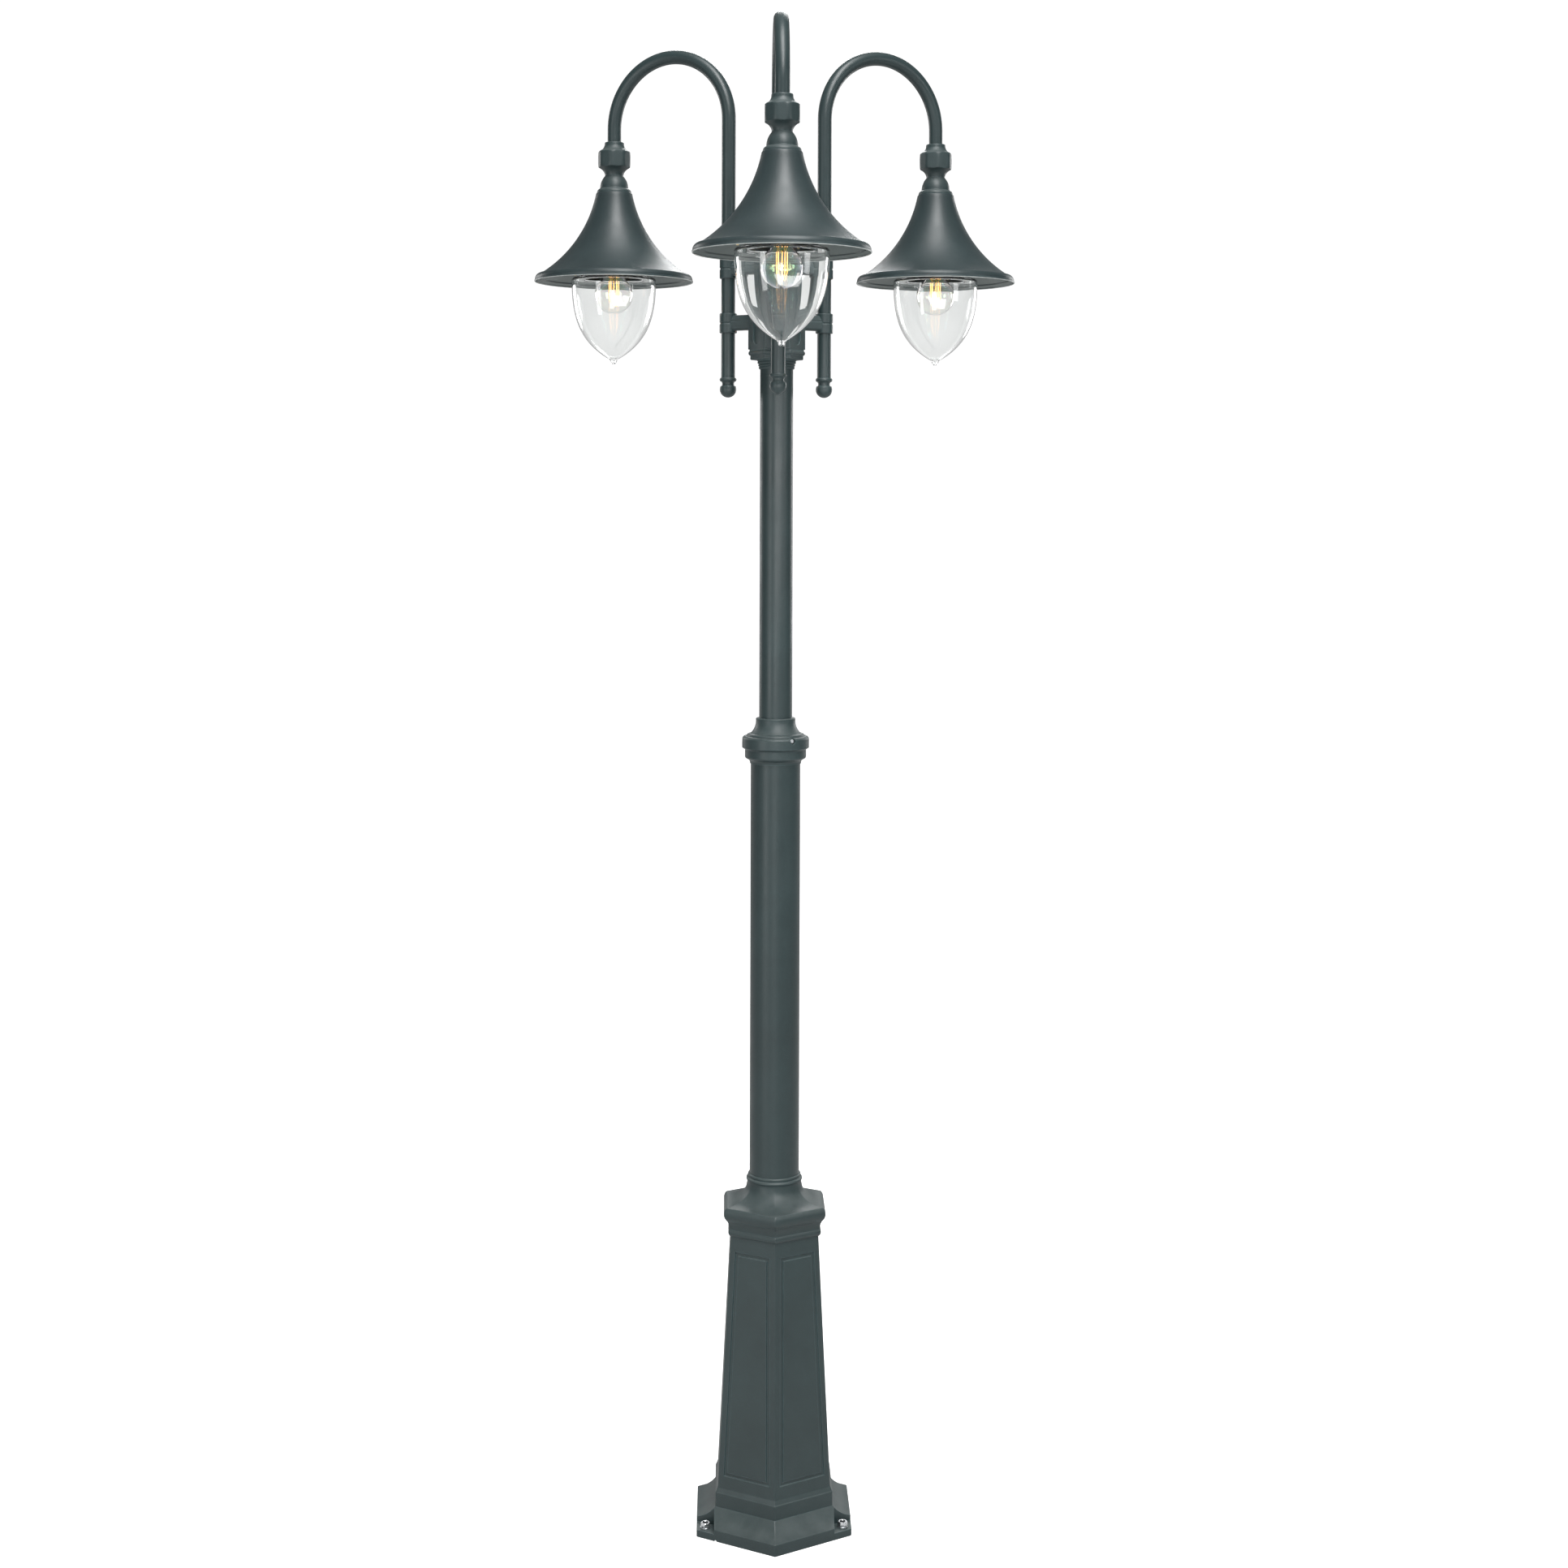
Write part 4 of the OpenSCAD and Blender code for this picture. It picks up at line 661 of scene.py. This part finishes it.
on_each_arm(bracket(), "bracket_casting", "head", "arm_bracket", casting_paint)
screw_paint = powder_coat("painted_screw", (0.019, 0.032, 0.033), 0.46, 0.3)
screws = []
for az in ARM_TURNS.values():
    for z in PAN_SCREWS:
        pan = turned("pan", eased([(0, -9), (2.5, -9), (2.5, 0), (4.5, 0, 0.2), (4.6, 0.8), (3.9, 2.4, 0.8),
                                   (2.2, 3.0), (0, 3.0)], loop=False), 48)
        screws.append(moved(combined(pan, key_way(1.7, 1.2, 4)), lying(az, FLAT_R + PLATE_DEEP, HUB_Z + z)))
    for z in SLEEVES:
        screws.append(moved(set_screw("g", 2.45, 2.2, 1.2),
                            lying(az, ARM_IN + SLEEVE_BORE + 0.05, HUB_Z + z + GRUB_UP)))
dressed(gathered("bracket_screw_set", screws), screw_paint, "head", ["bracket_screws"])

# ---- Arm tubes and finials ------------------------------------------------------------
# Half-inch steel tube bent to a half circle over a former, leaving a long inner leg and a
# short outer one. A small turned finial with a ring, neck and ball plugs the leg's foot.
ARM_R, ARM_BORE, CROOK_R, CROOK_Z, LEG_Z = 10.65, 8.65, 104.25, 2123.5, 1727.0
RIM_Z = 1882.5
ARM_OUT, TUBE_END = ARM_IN + 2 * CROOK_R, RIM_Z + 188

# the run of the tube as reach, height and how far it has turned over
run = [(ARM_IN, LEG_Z, 0), (ARM_IN, LEG_Z + 0.5, 0)]
run += [(ARM_IN, LEG_Z + (CROOK_Z - LEG_Z) * i / 12, 0) for i in range(1, 13)]
run += [(ARM_IN + CROOK_R - CROOK_R * math.cos(a), CROOK_Z + CROOK_R * math.sin(a), a)
        for a in (math.pi * i / 64 for i in range(1, 64))]
run += [(ARM_OUT, z, math.pi) for z in (CROOK_Z, (CROOK_Z + TUBE_END) / 2, TUBE_END)]


def pipe_rings(r, steps=48):
    return [[(x + r * math.cos(t) * math.cos(a), r * math.sin(t), z - r * math.cos(t) * math.sin(a))
             for t in (2 * math.pi * i / steps for i in range(steps))] for x, z, a in run]


arm = loft("arm_pipe", pipe_rings(ARM_R) + pipe_rings(ARM_BORE)[::-1], closed=True)
combined(arm, moved(bar(WIRE_WAY_R, 0, 20), lying(0, ARM_IN - 20, HUB_Z + WIRE_WAY_Z)))
on_each_arm(arm, "arm_tube_bent", "head", "arm_tube", tube_paint)

finial_shape = eased(
    [(0, 14), (8.5, 14, 0.4), (8.5, 0, 0.2)] + bow((11.3, 0), (11.3, -5.6), -3.2, 8)
    + [(9.8, -6.2, 0.3), (9.2, -8.2), (9.1, -10.2), (9.6, -12.2), (11.0, -12.6)]
    + arc_at(0, -17.7, 12.6, range(24, -90, -6)) + [(0, -30.3)], loop=False)
drops = [moved(turned("finial", finial_shape, 72), about_z(az) @ shift(ARM_IN, 0, LEG_Z))
         for az in ARM_TURNS.values()]
dressed(gathered("leg_finials", drops), casting_paint, "head", ["finials"])

# ---- Couplings and shade caps ---------------------------------------------------------
# A cast barrel nut with eight worn flats screws to the end of the arm, above a small dome
# that crowns the shade. Both are bored for the stem and powder coated.
AXIS = {}
for side in ARM_TURNS:
    low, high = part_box(f"shade_{side}")
    AXIS[side] = ((low.x + high.x) / 2 / MM, (low.y + high.y) / 2 / MM, low.z / MM)


def at_lantern(side):
    return shift(*AXIS[side])


def softly_less(a, b, k=0.7):
    """the smaller of two radii, with the corner between them eased"""
    h = max(k - abs(a - b), 0) / k
    return min(a, b) - h * h * k / 4


FLAT_OFF, FLATS_TOP, STEM_WAY_R = 24.35, 206.5, 5.2
outline = (bow((14.4, 168), (22.6, 180.0), -16, 10) + [(24.4, 181.0), (25.1, 181.8)]
           + bow((25.2, 182.4), (25.2, 204.0), 110, 12) + [(24.6, 205.6), (22.4, 207.4)]
           + bow((19.4, 208.9), (15.5, 215.4), -14, 8) + [(15.4, 217), (15.3, 219), (14.9, 220), (14.2, 220.4)])
rings = []
for r, z in outline:
    eight = FLAT_OFF if z < FLATS_TOP else 40
    rings.append([(rho * math.cos(a), rho * math.sin(a), z) for a, rho in (
        (t, softly_less(r, eight / math.cos((t + math.pi / 8) % (math.pi / 4) - math.pi / 8)))
        for t in (2 * math.pi * i / 96 for i in range(96)))])
rings += ring_of([(SLEEVE_BORE, 220.4), (SLEEVE_BORE, 188), (9.2, 188), (9.2, 181), (STEM_WAY_R, 181),
                  (STEM_WAY_R, 168)], 96)
on_each_arm(loft("coupling", rings, closed=True), "coupling_casting", "head", "coupling",
            casting_paint, where=lambda side: at_lantern(side) @ about_z(ARM_TURNS[side]))
on_each_arm(turned("shade_cap", eased(
    [(16, 140.5), (27.1, 140.5, 0.3)] + bow((27.1, 141.8), (23.2, 146.9), 6.5, 8) + [(22.6, 147.3, 0.3)]
    + bow((22.2, 147.9), (15.0, 167.0), 30, 12)
    + [(14.4, 167.8, 0.4), (13.9, 168), (STEM_WAY_R, 168), (STEM_WAY_R, 148.5), (16, 148.5)]),
    96), "shade_cap_casting", "head", "shade_cap", casting_paint, where=at_lantern)

# ---- Shades ---------------------------------------------------------------------------
# A trumpet of spun aluminium with a raised band and a thin rolled lip at the rim, powder
# coated in a satin paint whose fine metallic grain shows in the light on its sweep.
# Its downward faces are painted lighter as bounce light, and its lip carries a painted highlight.
shade_paint = powder_coat("powder_coat_on_shade", (0.018, 0.029, 0.031), 0.43, 0.6, 0.06)
SHADE_R, SWEEP_R, SHADE_H, SHADE_T = 125.0, 197.0, 140.5, 2.2
tree = shade_paint.node_tree
skin = tree.nodes["Principled BSDF"]
outside = skin.inputs["Base Color"].links[0].from_socket
place = part(tree, "ShaderNodeTexCoord")
spot = part(tree, "ShaderNodeSeparateXYZ", {"Vector": place.outputs["Object"]}).outputs
shape = part(tree, "ShaderNodeNewGeometry")
facing = part(tree, "ShaderNodeSeparateXYZ", {"Vector": shape.outputs["Normal"]}).outputs
across = part(tree, "ShaderNodeCombineXYZ", {0: spot["X"], 1: spot["Y"]})
radius = part(tree, "ShaderNodeVectorMath", {0: across.outputs[0]}, operation="LENGTH").outputs["Value"]
# downward faces, the inside of the shade, are painted lighter as bounce light from below
painted_underside_light = spread(tree, facing["Z"], -0.25, -0.6)
tone = blended(tree, painted_underside_light, outside, (0.105, 0.125, 0.122, 1))
# a thin pale ring painted round the foot of the lip is a painted highlight
painted_lip_highlight = times(tree, spread(tree, radius, 0.1225, 0.1232), spread(tree, spot["Z"], 0.0013, 0.0006))
painted_lip_highlight = times(tree, painted_lip_highlight, spread(tree, grain(tree, 90, 3, 0.6), 0.3, 0.6, 0.55, 1.0))
tree.links.new(blended(tree, painted_lip_highlight, tone, (0.42, 0.45, 0.44, 1)), skin.inputs["Base Color"])
shade = turned("shade", eased(
    [(STEM_WAY_R, SHADE_H), (27.4, SHADE_H, 0.6)]
    + bow((28.6, SHADE_H - 1.4), (SHADE_R - 8.2, 11.2), SWEEP_R, 36)
    + [(SHADE_R - 7.2, 10.4, 0.2), (SHADE_R - 6.7, 11.9, 0.4)]
    + bow((SHADE_R - 5.8, 11.8), (SHADE_R - 0.9, 4.0), -9, 8)
    + [(SHADE_R - 1.2, 3.0, 0.3), (SHADE_R - 0.2, 2.3, 0.4), (SHADE_R, 1.2, 0.5), (SHADE_R - 0.3, 0, 0.5),
       (SHADE_R - 1.6, 0, 0.5), (SHADE_R - 2.2, 2, 0.4), (SHADE_R - 7, 5.2, 0.4), (SHADE_R - 7.8, 7.4, 0.6)]
    + bow((SHADE_R - 9.9, 9), (25.7, SHADE_H - SHADE_T), -SWEEP_R - SHADE_T, 30)
    + [(STEM_WAY_R, SHADE_H - SHADE_T)]), 160)
on_each_arm(shade, "spun_shade", "head", "shade", shade_paint, where=at_lantern)

# ---- Galleries, lamp holders, gaskets and thumb screws --------------------------------
# Inside each shade a pressed steel ring takes the globe's neck, hung on a distance sleeve.
# Three knurled brass screws grip the neck, under a rubber gasket and a porcelain holder.
NECK_R, NECK_TOP, SHOULDER_Z, HOLDER_TOP, GRIP_Z = 50.0, 24.0, 6.0, 77.5, 15
gallery_paint = powder_coat("gallery_enamel", (0.075, 0.088, 0.088), 0.5, 0.2, 0.1)
RING_IN, RING_OUT, GALLERY_FOOT, LIP_Z, SEAT_R, SHEET_T = 50.4, 51.9, 7.3, NECK_TOP + 2.5, 45, 1.5
SPACER_R, SPACER_TOP = 9, 138.3
gallery = turned("gallery", eased(
    [(RING_OUT, GALLERY_FOOT, 0.4), (RING_OUT, LIP_Z + 10, 1), (38, HOLDER_TOP + SHEET_T, 1.5),
     (SPACER_R, HOLDER_TOP + SHEET_T), (SPACER_R, SPACER_TOP), (STEM_WAY_R, SPACER_TOP),
     (STEM_WAY_R, HOLDER_TOP), (37.2, HOLDER_TOP, 0.8), (RING_IN, LIP_Z + 9.6, 0.6),
     (RING_IN, LIP_Z + SHEET_T), (SEAT_R, LIP_Z + SHEET_T, 0.4), (SEAT_R, LIP_Z, 0.4), (RING_IN, LIP_Z),
     (RING_IN, GALLERY_FOOT, 0.4)]), 128)
for az in SCREWS:
    combined(gallery, moved(bar(SCREW_WAY_R, 0, 6, 32), lying(az, 49, GRIP_Z)))
on_each_arm(gallery, "globe_gallery", "head", "gallery", gallery_paint, where=at_lantern)


def thumb_screw():
    """knurled head on a short plain shank, foot at the neck"""
    steps, rings = 72, []
    for r, z in eased([(0, 0), (2.5, 0, 0.3), (2.5, 9), (3.6, 9, 0.2), (4.5, 9.5), (4.5, 12.5), (3.6, 13, 0.2),
                       (0, 13)], loop=False):
        ring = []
        for i in range(steps):
            rho = r - (0.22 if r > 4.4 and i % 3 == 0 else 0)
            ring.append((rho * math.cos(2 * math.pi * i / steps), rho * math.sin(2 * math.pi * i / steps), z))
        rings.append(ring)
    return loft("thumb", rings, capped=False)


thumbs, seals = [], []
for side in ARM_TURNS:
    for az in SCREWS:
        thumbs.append(moved(thumb_screw(), at_lantern(side) @ lying(az, NECK_R + 0.3, GRIP_Z)))
    seal = turned("seal", eased([(46, NECK_TOP + 0.3, 0.6), (NECK_R, NECK_TOP + 0.3, 0.6), (NECK_R, LIP_Z, 0.4),
                                 (46, LIP_Z, 0.4)]), 96)
    seals.append(moved(seal, at_lantern(side)))
dressed(gathered("thumb_screw_set", thumbs), brass, "head", ["gallery_screws"])
dressed(gathered("gasket_set", seals), gasket_rubber, "head", ["globe_gaskets"])
holder = turned("holder", eased(
    [(13.5, 28, 0.4), (19, 28, 0.6), (20, 29, 0.4), (20, 44, 0.4), (19.4, 45, 0.3), (19.4, 47, 0.3),
     (20, 48, 0.4), (20, 69.5, 1.2), (17, HOLDER_TOP, 1), (4.95, HOLDER_TOP), (4.95, 190), (3.3, 190),
     (3.3, 60.3), (0.5, 60.3), (0.5, 55.3), (13.5, 55.3)]), 96)
on_each_arm(holder, "porcelain_holder", "head", "lamp_holder", porcelain, where=at_lantern)

# ---- Globes ---------------------------------------------------------------------------
# Clear glass pressed and blown to an acorn: a straight neck, a square shoulder, sides that
# fall nearly straight and draw in to a nipple. The wall is thick enough to bend the light.
GLOBE_R, GLOBE_H, GLOBE_T = 66.3, 129.0, 3.0


def clear_glass(name, colour, ior, wave=0.12, film=0.0):
    """clear glass with a faint pull in its surface, light dust and, on the bulb, a thin film"""
    made, tree, skin = new_material(name)
    haze = spread(tree, grain(tree, 30, 5, 0.7), 0.62, 0.85, 0.0, 0.10)
    tree.links.new(haze, skin.inputs["Roughness"])
    cloud = patches(tree, 12, 2, 0.5)
    tree.links.new(blended(tree, cloud, toned(colour, 0.985), toned(colour)), skin.inputs["Base Color"])
    textured(tree, skin, wave, 0.0008, 22, 1, 0.4)
    skin.inputs["IOR"].default_value = ior
    skin.inputs["Transmission Weight"].default_value = 1.0
    if film:
        skin.inputs["Thin Film Thickness"].default_value = film
        skin.inputs["Thin Film IOR"].default_value = 1.6
    return made


def cubic(a, b, c, d, n=20):
    """points on a curve from a to d that sets out towards b and comes in from c"""
    points = []
    for i in range(n + 1):
        t = i / n
        s = 1 - t
        points.append(tuple(s ** 3 * p + 3 * s * s * t * q + 3 * s * t * t * u + t ** 3 * v
                            for p, q, u, v in zip(a, b, c, d)))
    return points


globe_glass = clear_glass("clear_globe_glass", (0.985, 0.995, 0.99), 1.47)
TIP_Z, SIDE_Z = -GLOBE_H, SHOULDER_Z - 2.5
globe = turned("globe", eased(
    [(NECK_R, NECK_TOP, 0.8), (NECK_R, SHOULDER_Z + 0.9, 0.8), (NECK_R + 1, SHOULDER_Z, 0.6),
     (GLOBE_R - 1.6, SHOULDER_Z, 1.4)]
    + cubic((GLOBE_R, SIDE_Z), (GLOBE_R, SIDE_Z - 0.44 * GLOBE_H), (GLOBE_R - 10.3, TIP_Z + 37.5),
            (10.6, TIP_Z + 9.6), 28)
    + [(7.0, TIP_Z + 8.0, 0.9), (5.6, TIP_Z + 5.4), (4.6, TIP_Z + 2.6), (3.9, TIP_Z + 1.0), (2.4, TIP_Z + 0.2),
       (0.01, TIP_Z), (0.01, TIP_Z + 2.4), (1.8, TIP_Z + 2.8, 0.4), (2.4, TIP_Z + 4.6, 0.6), (3.0, TIP_Z + 6.6)]
    + cubic((5.6, TIP_Z + 8.6), (GLOBE_R - 13, TIP_Z + 39.5), (GLOBE_R - GLOBE_T, SIDE_Z - 0.43 * GLOBE_H),
            (GLOBE_R - GLOBE_T, SHOULDER_Z - 4.6), 28)
    + [(GLOBE_R - 4.2, SHOULDER_Z - GLOBE_T, 1), (NECK_R - 2, SHOULDER_Z - GLOBE_T, 0.8),
       (NECK_R - GLOBE_T, SHOULDER_Z - 2, 0.6), (NECK_R - GLOBE_T, NECK_TOP, 0.8)]), 160)
on_each_arm(globe, "glass_globe", "globe_{side}", "globe", globe_glass, 50, at_lantern)

# ---- Bulbs ----------------------------------------------------------------------------
# Clear pear-shaped bulbs with a brass screw cap and a cage of glowing wire. The wire runs
# up and down between two spiders on a glass stem, so that it shows as tall hairpins.
BULB_R, BULB_Z, BULB_T, CAP_R = 30.0, -20.0, 0.9, 13.2
NECK = BULB_Z + 46
bulb_glass = clear_glass("clear_bulb_glass", (0.99, 0.985, 0.96), 1.45, 0.05, 420)


def pear(e):
    """half outline of the bulb, e inside its skin"""
    low = arc_at(0, BULB_Z, BULB_R - e, range(-84, 38, 6))
    return low + bow(arc_at(0, BULB_Z, BULB_R - e, [42])[0], (CAP_R - 0.4 - e, NECK), -44, 10)


envelope = turned("envelope", [(0.01, BULB_Z - BULB_R)] + pear(0) + pear(BULB_T)[::-1]
                  + [(0.01, BULB_Z - BULB_R + BULB_T)], 96)
on_each_arm(envelope, "bulb_envelope", "bulb_{side}", "bulb_glass", bulb_glass, 60, at_lantern)

# the screw shell's thread is a rounded wave, four turns high, running out at both ends
THREAD_STEPS, PITCH, THREAD_DEEP, THREAD_TOP = 72, 3.6, 0.42, NECK + 18.6
rings = []
for j in range(61):
    z = NECK + 1 + j * 0.3
    ring = []
    for i in range(THREAD_STEPS):
        a = 2 * math.pi * i / THREAD_STEPS
        fade = max(0.0, min(1.0, (z - NECK - 2) / 2, (THREAD_TOP - z) / 2))
        r = CAP_R - 0.45 + THREAD_DEEP * fade * math.cos(2 * math.pi * z / PITCH - a)
        ring.append((r * math.cos(a), r * math.sin(a), z))
    rings.append(ring)
rings = ring_of([(0.01, NECK), (CAP_R - 0.3, NECK), (CAP_R - 0.1, NECK + 0.6)], THREAD_STEPS) + rings
rings += ring_of([(CAP_R - 1.2, NECK + 20), (CAP_R - 4, NECK + 25), (4.5, NECK + 25), (4, NECK + 28.4),
                  (2.6, NECK + 29), (0.01, NECK + 29)], THREAD_STEPS)
on_each_arm(loft("cap", rings), "screw_cap", "bulb_{side}", "bulb_cap", brass, 40, at_lantern)

made, tree, skin = new_material("glowing_wire")
heat = part(tree, "ShaderNodeValToRGB", {"Fac": grain(tree, 160, 2, 0.5)})
heat.color_ramp.elements[0].color = (1.0, 0.36, 0.06, 1)
heat.color_ramp.elements[0].position = 0.35
heat.color_ramp.elements[1].color = (1.0, 0.64, 0.20, 1)
heat.color_ramp.elements[1].position = 0.65
tree.links.new(heat.outputs["Color"], skin.inputs["Base Color"])
tree.links.new(heat.outputs["Color"], skin.inputs["Emission Color"])
skin.inputs["Emission Strength"].default_value = 4.2
skin.inputs["Roughness"].default_value = 0.6
glowing_wire = made

WIRE_R, HOOK_R, CAGE_R, FOOT_R, ROD_R = 0.36, 0.3, 8.0, 4.2, 1.0
WIRE_LOW, BEND_Z, WIRE_HIGH = BULB_Z - 18, BULB_Z - 6, BULB_Z + 22


def wire(name, points, r, sides=8):
    """round wire along points, rings square to its run"""
    rings = []
    points = [Vector(p) for p in points]
    for i, p in enumerate(points):
        run = (points[min(i + 1, len(points) - 1)] - points[max(i - 1, 0)]).normalized()
        side = run.cross(Vector((0.3, 0.2, 1))).normalized()
        other = run.cross(side)
        rings.append([tuple(p + r * (side * math.cos(t) + other * math.sin(t)))
                      for t in (2 * math.pi * k / sides for k in range(sides))])
    return loft(name, rings)


def hairpins():
    """tall loops of wire, each drawn in to a narrow bend at its foot"""
    runs = []
    for k in range(5):
        a0, a1 = math.radians(72 * k - 16), math.radians(72 * k + 16)
        up = [(CAGE_R * math.cos(a0), CAGE_R * math.sin(a0), z) for z in (WIRE_HIGH - 1, BEND_Z)]
        down = [(CAGE_R * math.cos(a1), CAGE_R * math.sin(a1), z) for z in (BEND_Z, WIRE_HIGH - 1)]
        bend = []
        for i in range(1, 8):
            t = i / 8
            a = a0 + (a1 - a0) * t
            dip = math.sin(math.pi * t)
            r = CAGE_R - (CAGE_R - FOOT_R) * dip
            bend.append((r * math.cos(a), r * math.sin(a), BEND_Z - (BEND_Z - WIRE_LOW) * dip))
        runs.append(wire("pin", up + bend + down, WIRE_R))
    return gathered("hairpins", runs)


stem = turned("stem", eased([(0, NECK - 0.2), (7, NECK - 0.2, 0.5), (4, NECK - 6, 3), (2.3, BULB_Z + 26, 1),
                             (2.3, WIRE_HIGH - 1, 0.6), (ROD_R, WIRE_HIGH - 4, 0.6), (ROD_R, BULB_Z - 4, 0.4),
                             (0, BULB_Z - 4.4)], loop=False), 32)
hook_line = [(ROD_R, 0, WIRE_HIGH), (CAGE_R * 0.6, 0, WIRE_HIGH + 0.6), (CAGE_R, 0, WIRE_HIGH - 0.8)]
hooks = [moved(wire("hook", hook_line, HOOK_R), about_z(36 * k + 20)) for k in range(10)]
cage = hairpins()
mount = gathered("mount", [stem] + hooks)
for side in ARM_TURNS:
    held = repeated(cage, side, at_lantern(side), "glowing_cage")
    dressed(held, glowing_wire, f"bulb_{side}", [f"filament_{side}"])
    glass_mount = repeated(mount, side, at_lantern(side), "bulb_stem")
    dressed(glass_mount, bulb_glass, f"bulb_{side}", (), 50)
bpy.data.objects.remove(cage)
bpy.data.objects.remove(mount)

# ---- Studio ---------------------------------------------------------------------------
# A white seamless floor and backdrop. A broad soft lamp hangs above in front, weaker ones
# stand in front, at the right and low at the foot, and three behind light the back.
made, tree, skin = new_material("pale_floor")
cloudy = patches(tree, 3, 4, 0.6)
tree.links.new(blended(tree, cloudy, (0.52, 0.52, 0.52, 1), (0.54, 0.54, 0.54, 1)), skin.inputs["Base Color"])
place = part(tree, "ShaderNodeTexCoord")
away = part(tree, "ShaderNodeVectorMath", {0: place.outputs["Object"]}, operation="LENGTH")
glow = spread(tree, away.outputs["Value"], 0.15, 1.6, 0.84, 1.05)
ray = part(tree, "ShaderNodeLightPath")
glow = times(tree, glow, spread(tree, ray.outputs["Is Camera Ray"], 0, 1, 0.16, 1.0))
skin.inputs["Roughness"].default_value = 0.95
skin.inputs["Specular IOR Level"].default_value = 0.1
skin.inputs["Emission Color"].default_value = (1, 1, 1, 1)
tree.links.new(glow, skin.inputs["Emission Strength"])
floor = loft("studio_floor", ring_of([(0.001, 0), (2000, 0), (8000, 0), (60000, 0)], 64), capped=False)
floor.data.materials.append(made)

room = bpy.data.worlds.new("white_room")
bpy.context.scene.world = room
room.use_nodes = True
tree = room.node_tree
BACKDROP, BEHIND_GLASS, ROOM_LIGHT = 1.05, 0.88, 0.13
ray = part(tree, "ShaderNodeLightPath")
through = spread(tree, ray.outputs["Transmission Depth"], 0, 1)
seen = times(tree, ray.outputs["Is Camera Ray"], BACKDROP)
lit = part(tree, "ShaderNodeMath", {0: seen, 1: spread(tree, through, 0, 1, ROOM_LIGHT, BEHIND_GLASS)},
           operation="MAXIMUM").outputs[0]
tree.links.new(lit, tree.nodes["Background"].inputs["Strength"])
tree.nodes["Background"].inputs["Color"].default_value = (1, 1, 1, 1)


def soft_lamp(name, place, aim, size, power):
    lamp = bpy.data.lights.new(name, "AREA")
    lamp.shape = "RECTANGLE"
    lamp.size, lamp.size_y = size
    lamp.energy = power
    obj = bpy.data.objects.new(name, lamp)
    bpy.context.scene.collection.objects.link(obj)
    obj.location = place
    obj.rotation_euler = (Vector(aim) - Vector(place)).to_track_quat("-Z", "Y").to_euler()
    obj.visible_camera = False
    return obj


soft_lamp("top_lamp", (0.35, -1.7, 4.5), (0, 0, 1.9), (1.3, 3.2), 190)
soft_lamp("front_left_lamp", (-2.7, -2.7, 1.5), (0, 0, 1.2), (0.9, 2.8), 40)
soft_lamp("front_lamp", (-0.4, -4.4, 1.0), (0, 0, 0.9), (1.1, 1.5), 24)
soft_lamp("right_lamp", (2.6, -1.6, 2.0), (0, 0, 0.4), (0.8, 1.2), 14)
soft_lamp("foot_lamp", (0.25, -1.0, 1.6), (0, 0, 0.2), (0.9, 0.5), 9)
soft_lamp("high_back_lamp", (0.3, 4.0, 4.2), (0, 0, 1.1), (1.6, 1.6), 110)
soft_lamp("back_right_lamp", (2.6, 3.2, 2.0), (0, 0, 1.1), (1.0, 2.2), 40)
soft_lamp("back_left_lamp", (-2.8, 3.0, 2.0), (0, 0, 1.1), (1.0, 2.2), 34)

bpy.context.scene.view_settings.view_transform = "Standard"
camera = bpy.data.cameras.new("studio_camera")
camera.sensor_width = 36.0
camera.lens = 51.5
camera.shift_x, camera.shift_y = 0.0049, -0.1837
camera.clip_end = 200
BEARING, AWAY, EYE_Z, TILT = math.radians(-1.3), 3.4, 1.5461, 0.0031
eye = bpy.data.objects.new("studio_camera", camera)
bpy.context.scene.collection.objects.link(eye)
eye.matrix_world = shift(AWAY * math.sin(BEARING), -AWAY * math.cos(BEARING), EYE_Z) \
    @ Matrix.Rotation(BEARING, 4, "Z") @ Matrix.Rotation(math.radians(90), 4, "X") \
    @ Matrix.Rotation(TILT, 4, "Z")
bpy.context.scene.camera = eye
